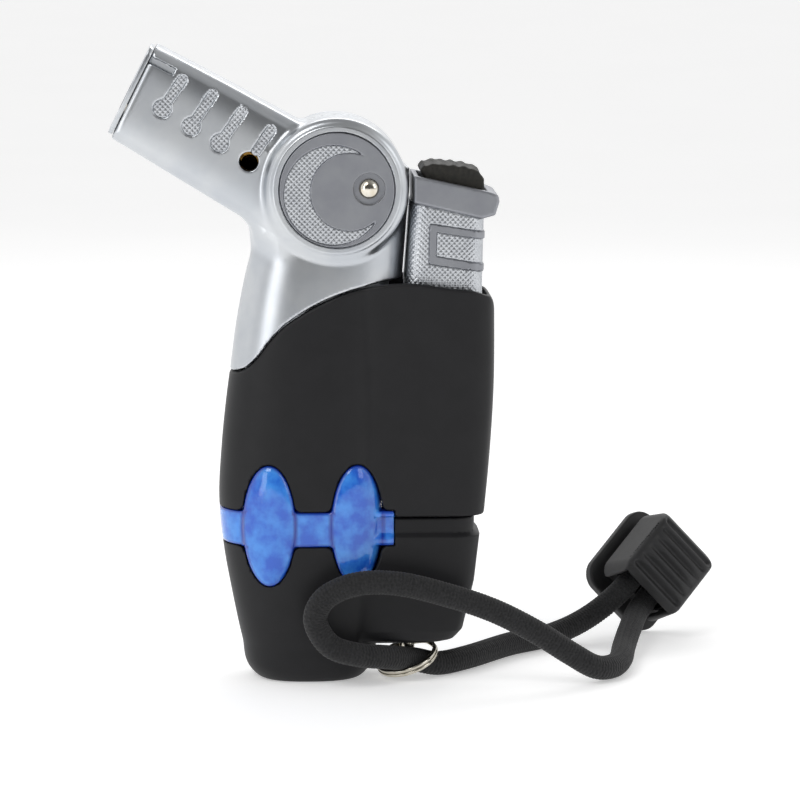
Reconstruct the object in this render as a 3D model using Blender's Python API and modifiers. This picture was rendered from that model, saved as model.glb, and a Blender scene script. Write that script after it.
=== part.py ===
"""Pocket butane torch with an angled metal head, a piezo press button and a bungee lanyard.

Every length below is in millimetres and turns into metres in one place, `metres`.
+Z is up the standing torch, the flame end points to -X, and the button is on the +X side.
The origin is the centre of the flat underside of the foot.
"""

import math

import bmesh
import bpy
from mathutils import Matrix, Vector

# ---- overall sizes ----------------------------------------------------------------------
WALL = 1.5                # moulded shell thickness
SHELL_TO_TANK = 0.5       # room between the shells and the tank inside them
FIT = 0.3                 # gap between pieces that only rest against each other
SNUG = 0.15               # gap round pins and stems
PARTING = 0.1             # each head half stops this far from the middle plane
REAR_WALL = 1.2           # shell thickness round the button well
PLAN_POWER = 2.5          # roundness of the front column seen from above
REAR_POWER = 5.0          # roundness of the rear column seen from above
RING = 24                 # points round each body section

# ---- body columns: height, front edge, rear edge, half width ---------------------------
FRONT_COLUMN = [
    (0.0, -8.5, 8.5, 7.6),
    (1.5, -9.9, 9.8, 8.7),
    (6.4, -11.2, 11.2, 9.4),
    (14.0, -12.8, 12.6, 9.9),
    (22.0, -14.2, 13.7, 10.2),
    (30.0, -14.9, 14.4, 10.3),
    (38.0, -14.5, 14.6, 10.2),
    (46.0, -13.7, 14.8, 10.0),
    (52.0, -12.9, 14.9, 9.8),
    (58.0, -12.1, 15.0, 9.5),
    (66.0, -10.6, 15.3, 9.1),
    (74.0, -8.6, 15.9, 8.6),
    (80.0, -7.6, 16.3, 8.3),
    (84.4, -6.4, 16.5, 8.2),
]
REAR_FRONT_EDGE = 6.0
REAR_COLUMN = [
    (6.2, REAR_FRONT_EDGE, 21.5, 7.2),
    (6.9, REAR_FRONT_EDGE, 23.8, 8.2),
    (8.5, REAR_FRONT_EDGE, 25.2, 8.7),
    (16.5, REAR_FRONT_EDGE, 27.1, 8.9),
    (24.2, REAR_FRONT_EDGE, 28.0, 8.9),
    (24.9, REAR_FRONT_EDGE, 27.1, 8.1),
    (27.7, REAR_FRONT_EDGE, 27.1, 8.1),
]
REAR_UPPER = [
    (27.7, REAR_FRONT_EDGE, 28.7, 9.0),
    (35.0, REAR_FRONT_EDGE, 29.4, 9.0),
    (47.0, REAR_FRONT_EDGE, 30.2, 9.0),
    (67.0, REAR_FRONT_EDGE, 30.3, 9.0),
]
SHELL_SPLIT = 27.55       # height of the joint between the two shells
FOOT_FLOOR = 2.0          # thickness of the foot's bottom
REAR_FLOOR = 8.2          # inside floor of the rear column

# ---- upper edge of the black shell, seen from the side ---------------------------------
LIP = [
    (-17.0, 50.6),
    (-12.6, 51.0),
    (-10.4, 52.0),
    (-8.5, 53.9),
    (-6.7, 56.4),
    (-4.6, 58.7),
    (-1.6, 60.9),
    (2.0, 62.9),
    (6.0, 64.5),
    (10.6, 65.6),
    (15.7, 66.1),
]
REAR_LIP = [(28.4, 64.1), (29.8, 63.3), (30.6, 61.6)]
LIP_GAP = 0.35            # metal starts this far above the shell's lip

# ---- tank and its windows ---------------------------------------------------------------
TANK_BOTTOM = 2.6
TANK_TOP = 38.0
TANK_WALL = 1.3
BAND_LOW, BAND_HIGH = 23.0, 28.7
BAND_END = 13.7           # how far back the clear band runs
WINDOW_X = (-6.8, 7.6)
WINDOW_Z = 26.4
WINDOW_HALF_WIDTH, WINDOW_HALF_HEIGHT = 4.3, 10.0
WINDOW_GAP = 0.25

# ---- head -------------------------------------------------------------------------------
MOUTH = (-29.1, 97.5)     # middle of the arm's open end
ARM_ANGLE = 30.8          # rise of the arm above level
MOUTH_ANGLE = 26.6        # lean of the open end
ARM_HALF_THICK = 7.5
ARM_ROUND = 1.8
ARM_END_GAP = 0.9         # shells stop here, behind the end plate
CHANNEL_HALF = (6.3, 5.4)  # half height and half width of the burner channel
DISC = (4.4, 81.4)        # centre of the side discs
DISC_RADIUS = 9.3
DISC_FACE = 9.9           # distance of the disc's face from the middle plane
DISC_THICK = 1.5
RIM_RADIUS = 10.5
KNUCKLE_RADIUS = 11.6
KNUCKLE_HALF = 9.2
RIM_PROUD = 0.35
CRESCENT_DEPTH = 0.35
CRESCENT_OUTER = (3.85, 80.6, 8.1)      # x, z and radius of the crescent's two circles
CRESCENT_INNER = (6.4, 81.1, 6.3)
CRESCENT_OUTER_TURN = (52.8, 329.4)     # degrees between the horns
CRESCENT_INNER_TURN = (313.4, 69.3)
COUNTERBORE = (2.6, 0.75)               # radius and depth of the rivet's seat
RIVET = (9.6, 81.6)
RIVET_RADIUS = 0.85
RIVET_HEAD = 1.65
TENON_INSET = 2.1
TENON_BOTTOM = 51.5
NECK_WALL_INSET = 4.0

ARM_OUTLINE = [
    (-32.8, 90.1), (-25.4, 104.9), (-12.7, 98.2), (0.5, 90.9), (5.0, 84.0),
    (4.0, 76.0), (-5.0, 72.0), (-8.3, 73.4), (-9.3, 75.2), (-11.2, 76.8),
]
KEYHOLE_ENDS = [              # middle of each bulb and end of its stem
    ((-23.7, 94.5), (-20.4, 99.2)),
    ((-19.1, 91.6), (-15.4, 97.0)),
    ((-14.5, 88.9), (-10.7, 94.2)),
]
KEYHOLE_BULB, KEYHOLE_STEM = 1.5, 0.75
KEYHOLE_DEPTH = 0.4
SHORT_SLOT = [(-9.2, 87.9), (-6.9, 91.1), (-5.7, 91.2), (-5.7, 90.2), (-8.0, 87.0)]
TIP_NOTCH = [(-25.3, 102.9), (-21.5, 100.9), (-22.0, 99.9), (-25.8, 101.9)]
AIR_HOLE = (-9.8, 85.9)
AIR_HOLE_RADIUS = 1.55
BURNER_UP = 0.3           # the burner sits this far above the arm's middle line

# ---- button -----------------------------------------------------------------------------
SKIRT = [
    (50.0, 15.5, 28.0, 7.0),
    (66.0, 15.75, 28.15, 7.0),
    (79.6, 16.75, 28.5, 7.0),
]
SKIRT_POWER = 6.0
SKIRT_BOTTOM = 55.0
SKIRT_WALL = 1.2
RIB_PROUD = 0.35
CAP_OUTLINE = [
    (16.9, 79.0), (16.9, 83.6), (29.6, 80.9), (30.7, 80.2), (30.9, 79.2), (30.2, 77.0),
    (28.0, 76.4),
]

# ---- valve train ------------------------------------------------------------------------
VALVE_X = -1.0
LEVER_PIVOT = (3.5, 49.0)
LID_BOTTOM, LID_TOP = TANK_TOP + FIT, TANK_TOP + 2.3
PIEZO_X = (18.8, 26.4)
PIEZO_HALF = 4.2

# ---- lanyard ----------------------------------------------------------------------------
CORD_DIAMETER = 4.0
POST_X, POST_Y = 16.0, 1.28
EYE_HEIGHT = 4.72
RING_CENTRE = (16.0, -3.4, 3.35)
RING_RADIUS = 4.9
RING_WIRE = 0.42
RING_PITCH = 0.95
LOCK_CENTRE = (58.5, 36.0, 10.25)
LOCK_LONG = (0.60, 0.50, 0.62)
LOCK_ACROSS = (0.68, 0.09, -0.73)
LOCK_SLOT_HALF = (5.0, 2.4)
LOCK_SLOT_HEIGHT = 5.6
LOCK_TRAVEL = 2.0


def metres(*values):
    """Millimetres to a vector in metres."""
    return Vector(values) * 0.001


def clear_scene():
    for obj in list(bpy.data.objects):
        bpy.data.objects.remove(obj, do_unlink=True)


clear_scene()
parts = bpy.data.collections.new("parts")
helpers = bpy.data.collections.new("helpers")
bpy.context.scene.collection.children.link(parts)
bpy.context.scene.collection.children.link(helpers)


def material(name, colour, metallic=0.0, roughness=0.5):
    made = bpy.data.materials.new(name)
    made.use_nodes = True
    shader = made.node_tree.nodes["Principled BSDF"]
    shader.inputs["Base Color"].default_value = (*colour, 1.0)
    shader.inputs["Metallic"].default_value = metallic
    shader.inputs["Roughness"].default_value = roughness
    return made


SATIN_ZINC = material("satin_zinc", (0.62, 0.63, 0.65), 1.0, 0.32)
SATIN_STEEL = material("satin_steel", (0.58, 0.58, 0.58), 1.0, 0.28)
BRASS = material("brass", (0.72, 0.50, 0.22), 1.0, 0.35)
NICKEL = material("nickel", (0.62, 0.58, 0.52), 1.0, 0.22)
SPRING_STEEL = material("spring_steel", (0.50, 0.50, 0.52), 1.0, 0.35)
SOFT_BLACK = material("soft_touch_black", (0.030, 0.030, 0.034), 0.0, 0.55)
CLEAR_BLUE = material("clear_blue", (0.03, 0.17, 0.72), 0.0, 0.12)
PAD_RUBBER = material("pad_rubber", (0.018, 0.018, 0.015), 0.0, 0.75)
LOCK_BLACK = material("lock_black", (0.040, 0.040, 0.042), 0.0, 0.60)
CORD_BLACK = material("cord_black", (0.028, 0.028, 0.029), 0.0, 0.90)
CERAMIC = material("ceramic", (0.82, 0.80, 0.74), 0.0, 0.35)
GREY_PLASTIC = material("grey_plastic", (0.20, 0.20, 0.21), 0.0, 0.45)
HOSE_GREY = material("hose_grey", (0.35, 0.35, 0.36), 0.0, 0.60)
WIRE_RED = material("wire_red", (0.45, 0.04, 0.03), 0.0, 0.45)


def keep(name, bm, surface, at=(0.0, 0.0, 0.0), helper=False):
    """Turn a bmesh in world millimetres into an object whose origin is `at`."""
    bmesh.ops.recalc_face_normals(bm, faces=bm.faces)
    bmesh.ops.translate(bm, verts=bm.verts, vec=-Vector(at))
    bmesh.ops.scale(bm, verts=bm.verts, vec=(0.001, 0.001, 0.001))
    mesh = bpy.data.meshes.new(name)
    bm.to_mesh(mesh)
    bm.free()
    return place(name, mesh, surface, at, helper)


def place(name, data, surface, at=(0.0, 0.0, 0.0), helper=False):
    obj = bpy.data.objects.new(name, data)
    obj.location = metres(*at)
    if surface is not None:
        data.materials.append(surface)
    if obj.type == "MESH" and not helper:
        round_shade(obj)
    if helper:
        obj.hide_render = True
        obj.display_type = "WIRE"
        helpers.objects.link(obj)
    else:
        parts.objects.link(obj)
    return obj


def boolean(target, tool, operation="DIFFERENCE"):
    made = target.modifiers.new(f"{operation.lower()}_{tool.name}", "BOOLEAN")
    made.operation = operation
    made.solver = "EXACT"
    made.object = tool


def cut(target, *tools):
    for tool in tools:
        boolean(target, tool)


def join(target, *tools):
    for tool in tools:
        boolean(target, tool, "UNION")


def round_shade(obj, angle=40.0):
    """Smooth shading with sharp edges kept above the angle, on a plain mesh."""
    obj.data.shade_smooth()
    obj.data.set_sharp_from_angle(angle=math.radians(angle))


def loft(bm, rings):
    """Skin closed rings of points, in order, and cap both ends."""
    rows = [[bm.verts.new(p) for p in ring] for ring in rings]
    for low, high in zip(rows, rows[1:]):
        count = len(low)
        for i in range(count):
            j = (i + 1) % count
            bm.faces.new((low[i], low[j], high[j], high[i]))
    bm.faces.new(rows[0])
    bm.faces.new(rows[-1])


def prism(name, outline, near, far, surface=None, at=(0.0, 0.0, 0.0), helper=True):
    """A side-view outline of (x, z) points carried from y = near to y = far."""
    bm = bmesh.new()
    loft(bm, [[(x, y, z) for x, z in outline] for y in (near, far)])
    return keep(name, bm, surface, at, helper)


def prisms(name, outlines, near, far):
    """Several outlines that don't touch each other, carried through as one helper."""
    bm = bmesh.new()
    for outline in outlines:
        loft(bm, [[(x, y, z) for x, z in outline] for y in (near, far)])
    return keep(name, bm, None, helper=True)


def block(name, low, high, surface=None, at=(0.0, 0.0, 0.0), helper=True, edge=0.0):
    """An upright box between two corners, with its edges rounded by `edge`."""
    bm = bmesh.new()
    bmesh.ops.create_cube(bm, size=1.0)
    size = Vector(high) - Vector(low)
    bmesh.ops.scale(bm, verts=bm.verts, vec=size)
    bmesh.ops.translate(bm, verts=bm.verts, vec=(Vector(high) + Vector(low)) / 2)
    if edge:
        bmesh.ops.bevel(
            bm, geom=list(bm.edges), offset=edge, segments=2, affect="EDGES", profile=0.5
        )
    return keep(name, bm, surface, at, helper)


def rod(name, radius, start, end, surface=None, helper=True, sides=20, at=None):
    """A straight round bar between two points."""
    start, end = Vector(start), Vector(end)
    bm = bmesh.new()
    bmesh.ops.create_cone(
        bm, cap_ends=True, segments=sides, radius1=radius, radius2=radius,
        depth=(end - start).length,
    )
    turn = Vector((0.0, 0.0, 1.0)).rotation_difference(end - start).to_matrix().to_4x4()
    bmesh.ops.transform(bm, matrix=turn, verts=bm.verts)
    bmesh.ops.translate(bm, verts=bm.verts, vec=(start + end) / 2)
    return keep(name, bm, surface, at if at is not None else (0.0, 0.0, 0.0), helper)


def turned(name, profile, at, axis, surface, steps=16, closed=False):
    """A turned piece: (radius, height) points run top to bottom down the outer side."""
    mesh = bpy.data.meshes.new(name)
    points = [metres(radius, 0.0, height) for radius, height in profile]
    edges = [(i, i + 1) for i in range(len(points) - 1)]
    if closed:
        edges.append((len(points) - 1, 0))
    mesh.from_pydata(points, edges, [])
    obj = place(name, mesh, surface, at)
    obj.rotation_euler = Vector((0.0, 0.0, 1.0)).rotation_difference(Vector(axis)).to_euler()
    screw = obj.modifiers.new("turn", "SCREW")
    screw.steps = steps
    screw.render_steps = steps
    screw.use_merge_vertices = True
    screw.merge_threshold = 0.00001
    screw.use_smooth_shade = True
    return obj


def smooth_route(points, per_span):
    """Points along a curve that passes through each of its own given points."""
    given = [Vector(p) for p in points]
    ends = [2 * given[0] - given[1], *given, 2 * given[-1] - given[-2]]
    route = []
    for i in range(1, len(ends) - 2):
        a, b, c, d = ends[i - 1:i + 3]
        for step in range(per_span):
            t = step / per_span
            route.append(
                0.5 * (
                    2 * b + (c - a) * t + (2 * a - 5 * b + 4 * c - d) * t * t
                    + (3 * b - a - 3 * c + d) * t ** 3
                )
            )
    return [*route, given[-1]]


def tube(name, route, radius, surface, at=(0.0, 0.0, 0.0), resolution=2, helper=False):
    """A round cord or wire along a list of points in world millimetres."""
    curve = bpy.data.curves.new(name, "CURVE")
    curve.dimensions = "3D"
    curve.bevel_depth = radius * 0.001
    curve.bevel_resolution = resolution
    curve.use_fill_caps = True
    spline = curve.splines.new("POLY")
    spline.points.add(len(route) - 1)
    for point, place_mm in zip(spline.points, route):
        point.co = (*((Vector(place_mm) - Vector(at)) * 0.001), 1.0)
    return place(name, curve, surface, at, helper)


def coil(name, centre, axis, radius, wire, length, turns, surface, per_turn=8, phase=0.0):
    """An open compression spring standing on `centre` and rising along `axis`."""
    turn = Vector((0.0, 0.0, 1.0)).rotation_difference(Vector(axis)).to_matrix()
    count = int(turns * per_turn)
    route = []
    for i in range(count + 1):
        angle = 2 * math.pi * i / per_turn + phase
        local = Vector((
            radius * math.cos(angle), radius * math.sin(angle),
            wire + (length - 2 * wire) * i / count,
        ))
        route.append(Vector(centre) + turn @ local)
    return tube(name, route, wire, surface, at=centre, resolution=1)


def between(table, height):
    """Each column of a table read at a height, straight between its rows."""
    for low, high in zip(table, table[1:]):
        if height <= high[0]:
            t = (height - low[0]) / (high[0] - low[0])
            return [a + (b - a) * t for a, b in zip(low[1:], high[1:])]
    return list(table[-1][1:])


def round_plan(front, rear, half, power, count=RING):
    """A rounded outline seen from above, symmetric about the middle plane."""
    middle, reach = (front + rear) / 2, (rear - front) / 2
    points = []
    for i in range(count):
        angle = 2 * math.pi * i / count
        c, s = math.cos(angle), math.sin(angle)
        x = middle + reach * math.copysign(abs(c) ** (2 / power), c)
        y = half * math.copysign(abs(s) ** (2 / power), s)
        points.append((x, y))
    return points


def column(name, table, low, high, inset, power, surface=None, helper=True):
    """A stack of plan outlines between two heights, drawn in by `inset` all round."""
    heights = [low, *[row[0] for row in table if low < row[0] < high], high]
    rings = []
    for height in heights:
        front, rear, half = between(table, height)
        plan = round_plan(front + inset, rear - inset, half - inset, power)
        rings.append([(x, y, height) for x, y in plan])
    bm = bmesh.new()
    loft(bm, rings)
    return keep(name, bm, surface, helper=helper)


def side_surface(x, z):
    """Half width of the front column at a place seen from the side."""
    front, rear, half = between(FRONT_COLUMN, z)
    middle, reach = (front + rear) / 2, (rear - front) / 2
    share = min(abs(x - middle) / reach, 0.999)
    return half * (1 - share ** PLAN_POWER) ** (1 / PLAN_POWER)


def oval(centre, half_width, half_height, count=20):
    return [
        (
            centre[0] + half_width * math.cos(2 * math.pi * i / count),
            centre[1] + half_height * math.sin(2 * math.pi * i / count),
        )
        for i in range(count)
    ]


def along_arm(back, up=0.0, side=0.0):
    """A point inside the arm: distance back from the mouth, offset up and sideways."""
    angle = math.radians(ARM_ANGLE)
    return (
        MOUTH[0] + back * math.cos(angle) + up * math.sin(angle),
        side,
        MOUTH[1] - back * math.sin(angle) + up * math.cos(angle),
    )


def at_mouth(back, up=0.0, side=0.0):
    """A point measured square to the arm's open end."""
    angle = math.radians(MOUTH_ANGLE)
    return (
        MOUTH[0] + back * math.cos(angle) + up * math.sin(angle),
        side,
        MOUTH[1] - back * math.sin(angle) + up * math.cos(angle),
    )


ARM_AXIS = (
    -math.cos(math.radians(ARM_ANGLE)), 0.0, math.sin(math.radians(ARM_ANGLE)),
)


# ==== body shells ========================================================================
def window_cutters():
    openings = [
        oval((x, WINDOW_Z), WINDOW_HALF_WIDTH + WINDOW_GAP, WINDOW_HALF_HEIGHT + WINDOW_GAP)
        for x in WINDOW_X
    ]
    windows = prisms("window_openings", openings, -14.0, 14.0)
    band = prism(
        "band_opening",
        [
            (-17.0, BAND_LOW - WINDOW_GAP), (BAND_END + WINDOW_GAP, BAND_LOW - WINDOW_GAP),
            (BAND_END + WINDOW_GAP, BAND_HIGH + WINDOW_GAP), (-17.0, BAND_HIGH + WINDOW_GAP),
        ],
        -14.0, 14.0,
    )
    return windows, band


WINDOWS, BAND = window_cutters()
ABOVE_LIP = prism("above_lip", [*LIP, *REAR_LIP, (32.0, 61.0), (32.0, 90.0), (-17.0, 90.0)],
                  -14.0, 14.0)


def upper_shell():
    shell = column("upper_shell", FRONT_COLUMN, SHELL_SPLIT + 0.15, 67.0, 0.0, PLAN_POWER,
                   SOFT_BLACK, helper=False)
    join(shell, column("upper_rear", REAR_UPPER, SHELL_SPLIT + 0.15, 67.0, 0.0, REAR_POWER))
    cut(
        shell,
        column("upper_front_room", FRONT_COLUMN, 26.0, 70.0, WALL, PLAN_POWER),
        column("upper_rear_room", REAR_UPPER, 26.0, 70.0, REAR_WALL, REAR_POWER),
        ABOVE_LIP, WINDOWS, BAND,
    )
    return shell


def lower_shell():
    shell = column("lower_shell", FRONT_COLUMN, 0.0, SHELL_SPLIT - 0.15, 0.0, PLAN_POWER,
                   SOFT_BLACK, helper=False)
    join(shell, column("lower_rear", REAR_COLUMN, 6.2, SHELL_SPLIT - 0.15, 0.0, REAR_POWER))
    cut(
        shell,
        column("lower_front_room", FRONT_COLUMN, FOOT_FLOOR, 30.0, WALL, PLAN_POWER),
        column("lower_rear_room", REAR_COLUMN, REAR_FLOOR, 29.0, WALL, REAR_POWER),
        WINDOWS, BAND,
        rod("fill_opening", 3.0, (3.6, 0.0, -1.0), (3.6, 0.0, 3.0)),
        rod("adjuster_opening", 2.5, (-4.2, 0.0, -1.0), (-4.2, 0.0, 3.0)),
        rod("post_opening", 1.0, (POST_X, POST_Y, 5.0), (POST_X, POST_Y, 10.0)),
    )
    return shell


# ==== tank ===============================================================================
def window_dome(name, x_middle, side):
    """One bulging oval of the tank that follows the curve of the body's side."""
    steps = ((1.0, -3.2), (1.0, 0.0), (0.95, 0.38), (0.82, 0.72), (0.55, 0.98), (0.22, 1.08))
    rings = []
    for scale, proud in steps:
        outline = oval(
            (x_middle, WINDOW_Z), WINDOW_HALF_WIDTH * scale, WINDOW_HALF_HEIGHT * scale, 20
        )
        rings.append([(x, side * (side_surface(x, z) + proud), z) for x, z in outline])
    bm = bmesh.new()
    loft(bm, rings)
    return keep(name, bm, None, helper=True)


def fuel_tank():
    inset = WALL + SHELL_TO_TANK
    tank = column("fuel_tank", FRONT_COLUMN, TANK_BOTTOM, TANK_TOP, inset, PLAN_POWER,
                  CLEAR_BLUE, helper=False)
    band = column("tank_band", FRONT_COLUMN, BAND_LOW, BAND_HIGH, -0.05, PLAN_POWER)
    cut(band, block("band_rear_trim", (BAND_END, -14.0, 20.0), (18.0, 14.0, 32.0)))
    join(tank, band)
    for i, x in enumerate(WINDOW_X):
        for side, word in ((-1, "near"), (1, "far")):
            join(tank, window_dome(f"dome_{i}_{word}", x, side))
    cut(
        tank,
        column("tank_room", FRONT_COLUMN, TANK_BOTTOM + TANK_WALL + 0.6, TANK_TOP + 2.0,
               inset + TANK_WALL, PLAN_POWER),
        rod("tank_fill_hole", 2.3, (3.6, 0.0, 1.0), (3.6, 0.0, 6.0)),
        rod("tank_adjuster_hole", 1.6, (-4.2, 0.0, 1.0), (-4.2, 0.0, 6.0)),
    )
    return tank


def tank_lid():
    inset = WALL + SHELL_TO_TANK
    lid = column("tank_lid", FRONT_COLUMN, LID_BOTTOM, LID_TOP, inset, PLAN_POWER,
                 GREY_PLASTIC, helper=False)
    x, z = LEVER_PIVOT
    ear = [(x - 2.0, LID_TOP - 1.0), (x + 2.0, LID_TOP - 1.0), (x + 1.5, z + 1.4),
           (x - 1.5, z + 1.4)]
    for side, word in ((-1, "near"), (1, "far")):
        join(lid, prism(f"lid_ear_{word}", ear, side * 2.6, side * 3.8))
    cut(
        lid,
        rod("lid_valve_hole", 2.6, (VALVE_X, 0.0, LID_BOTTOM - 2.0), (VALVE_X, 0.0, LID_TOP + 2.0)),
        rod("lid_pin_hole", 0.8 + SNUG, (x, -6.0, z), (x, 6.0, z), sides=16),
    )
    return lid


# ==== valve train ========================================================================
def outlet_valve():
    x = VALVE_X
    turned(
        "outlet_valve_body",
        [(0.75, 44.4), (2.0, 44.4), (2.0, 42.6), (3.6, 42.4), (3.6, LID_TOP + FIT),
         (2.3, LID_TOP + FIT), (2.3, 30.0), (0.5, 30.0), (0.5, 30.5), (1.35, 30.7),
         (1.35, 37.0), (0.75, 37.4)],
        (x, 0.0, 0.0), (0, 0, 1), BRASS, closed=True,
    )
    turned(
        "outlet_valve_stem",
        [(0.0, 49.9), (1.5, 49.9), (1.7, 49.5), (1.7, 49.0), (0.9, 48.8), (0.5, 48.6),
         (0.5, 32.0), (1.05, 31.8), (1.05, 30.95), (0.0, 30.95)],
        (x, 0.0, 0.0), (0, 0, 1), BRASS, steps=16,
    )
    coil("outlet_valve_spring", (x, 0.0, 32.1), (0, 0, 1), 0.92, 0.18, 4.7, 5, SPRING_STEEL)


def gas_lever():
    """Rocking lever: the button skirt presses its long rear arm, its fork lifts the stem."""
    x, z = LEVER_PIVOT
    outline = [
        (-2.7, 47.95), (1.0, 47.7), (x - 1.4, 47.6), (x + 1.4, 47.6), (10.0, 49.6),
        (16.4, 53.5), (17.1, 54.4), (15.9, 54.6), (9.5, 51.0), (x + 1.3, 50.3),
        (x - 1.3, 50.3), (1.0, 48.7), (-2.7, 48.6),
    ]
    lever = prism("gas_lever", outline, -1.9, 1.9, SATIN_STEEL, at=(x, 0.0, z), helper=False)
    cut(
        lever,
        rod("lever_pin_hole", 0.8 + SNUG, (x, -4.0, z), (x, 4.0, z), sides=16),
        block("lever_fork_slot", (-4.0, -0.75, 46.0), (0.1, 0.75, 50.0)),
    )
    rod("lever_pivot_pin", 0.8, (x, -4.4, z), (x, 4.4, z), SATIN_STEEL, helper=False, sides=16)


def fill_and_adjust():
    turned(
        "fill_valve_body",
        [(0.6, 15.2), (1.9, 15.2), (1.9, 2.3), (2.7, 2.2), (2.7, 0.5), (1.6, 0.5),
         (1.1, 1.4), (0.75, 1.8), (0.75, 9.0), (1.5, 9.2), (1.5, 14.4), (0.6, 14.4)],
        (3.6, 0.0, 0.0), (0, 0, 1), BRASS, closed=True,
    )
    turned(
        "fill_valve_stem",
        [(0.0, 10.6), (1.2, 10.6), (1.2, 9.5), (0.5, 9.3), (0.5, 1.2), (0.0, 1.2)],
        (3.6, 0.0, 0.0), (0, 0, 1), BRASS, steps=16,
    )
    coil("fill_valve_spring", (3.6, 0.0, 10.75), (0, 0, 1), 1.0, 0.2, 3.5, 4, SPRING_STEEL)
    dial = turned(
        "flame_adjuster",
        [(0.0, 9.0), (1.25, 8.6), (1.25, 2.6), (2.2, 2.4), (2.2, 0.9), (2.0, 0.6), (0.0, 0.6)],
        (-4.2, 0.0, 0.0), (0, 0, 1), BRASS,
    )
    cut(dial, block("adjuster_slot", (-8.0, -0.35, -1.0), (0.0, 0.35, 1.3)))


# ==== head ===============================================================================


def lollipop(bulb, top, bulb_radius, stem_half):
    """Outline of a long slot that ends in a round bulb."""
    bulb, top = Vector(bulb), Vector(top)
    way = (top - bulb).normalized()
    across = Vector((way.y, -way.x))
    start = math.asin(stem_half / bulb_radius)
    points = []
    for i in range(10):
        angle = start + (2 * math.pi - 2 * start) * i / 9
        points.append(bulb + bulb_radius * (way * math.cos(angle) + across * math.sin(angle)))
    points.append(top - across * stem_half)
    points.append(top - across * stem_half * 0.4 + way * stem_half * 0.7)
    points.append(top + across * stem_half * 0.4 + way * stem_half * 0.7)
    points.append(top + across * stem_half)
    return [(p.x, p.y) for p in points]


KEYHOLES = [lollipop(bulb, top, KEYHOLE_BULB, KEYHOLE_STEM) for bulb, top in KEYHOLE_ENDS]


def drawn_in(outline, amount):
    """The same outline with every side moved inwards by `amount`."""
    turning = sum(
        a[0] * b[1] - b[0] * a[1] for a, b in zip(outline, [*outline[1:], outline[0]])
    )
    hand = 1.0 if turning > 0 else -1.0
    moved = []
    for i, corner in enumerate(outline):
        here = Vector(corner)
        before = (here - Vector(outline[i - 1])).normalized()
        after = (Vector(outline[(i + 1) % len(outline)]) - here).normalized()
        inward = hand * (Vector((-before.y, before.x)) + Vector((-after.y, after.x)))
        inward = inward.normalized()
        share = hand * Vector((-before.y, before.x)).dot(inward)
        moved.append(tuple(here + inward * amount / share))
    return moved


def arm_bar(name):
    """The straight arm, its outer edges rounded."""
    edge = [(0.0, 1.0), (0.134, 0.5), (0.5, 0.134), (1.0, 0.0)]
    rings = []
    for below, inside in edge:
        outline = drawn_in(ARM_OUTLINE, inside * ARM_ROUND)
        rings.append([(x, -ARM_HALF_THICK + below * ARM_ROUND, z) for x, z in outline])
    rings += [[(x, -y, z) for x, y, z in ring] for ring in reversed(rings)]
    bm = bmesh.new()
    loft(bm, rings)
    return keep(name, bm, None, helper=True)


def head_half(word, side):
    """Near or far casting: neck, knuckle and arm in one, hollow behind."""
    shell = column(f"head_shell_{word}", FRONT_COLUMN, 49.6, 84.4, 0.0, PLAN_POWER,
                   SATIN_ZINC, helper=False)
    knuckle = rod(f"knuckle_{word}", KNUCKLE_RADIUS, (DISC[0], -KNUCKLE_HALF, DISC[1]),
                  (DISC[0], KNUCKLE_HALF, DISC[1]), sides=32)
    rim_half = KNUCKLE_HALF + RIM_PROUD
    rim = rod(f"rim_{word}", RIM_RADIUS, (DISC[0], -rim_half, DISC[1]),
              (DISC[0], rim_half, DISC[1]), sides=32)
    join(shell, arm_bar(f"arm_{word}"), knuckle, rim)
    below = prism(
        f"below_metal_{word}",
        [(-18.0, 40.0), *[(x, z + LIP_GAP) for x, z in LIP], (20.0, 66.5), (20.0, 40.0)],
        -14.0, 14.0,
    )
    cut(shell, below)
    join(shell, column(f"tenon_{word}", FRONT_COLUMN, TENON_BOTTOM, 72.0, TENON_INSET,
                       PLAN_POWER))
    mouth_trim = rod(
        f"mouth_trim_{word}", 16.0, at_mouth(-12.0), at_mouth(ARM_END_GAP), sides=8
    )
    channel = prism(
        f"burner_channel_{word}",
        [
            (p[0], p[2]) for p in (
                along_arm(-3.0, -CHANNEL_HALF[0]), along_arm(35.5, -CHANNEL_HALF[0]),
                along_arm(35.5, CHANNEL_HALF[0]), along_arm(-3.0, CHANNEL_HALF[0]),
            )
        ],
        -CHANNEL_HALF[1], CHANNEL_HALF[1],
    )
    cut(
        shell,
        column(f"neck_room_{word}", FRONT_COLUMN, 45.0, 80.5, NECK_WALL_INSET, PLAN_POWER),
        channel, mouth_trim,
        block(f"lever_gate_{word}", (7.0, -2.5, 45.0), (16.0, 2.5, 58.0)),
        rod(f"disc_seat_{word}", DISC_RADIUS + 0.2,
            (DISC[0], side * (DISC_FACE - DISC_THICK - 0.2), DISC[1]),
            (DISC[0], side * 14.0, DISC[1]), sides=32),
        rod(f"rivet_hole_{word}", RIVET_RADIUS + SNUG, (RIVET[0], -14.0, RIVET[1]),
            (RIVET[0], 14.0, RIVET[1]), sides=16),
        prisms(f"keyholes_{word}", [*KEYHOLES, SHORT_SLOT, TIP_NOTCH],
               side * (ARM_HALF_THICK - KEYHOLE_DEPTH), side * 9.0),
        block(f"other_half_{word}", (-60.0, min(side * PARTING, -side * 20.0), 30.0),
              (40.0, max(side * PARTING, -side * 20.0), 130.0)),
    )
    if side < 0:
        cut(shell, rod("air_hole", AIR_HOLE_RADIUS, (AIR_HOLE[0], -14.0, AIR_HOLE[1]),
                       (AIR_HOLE[0], 0.0, AIR_HOLE[1])))
    return shell


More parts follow.
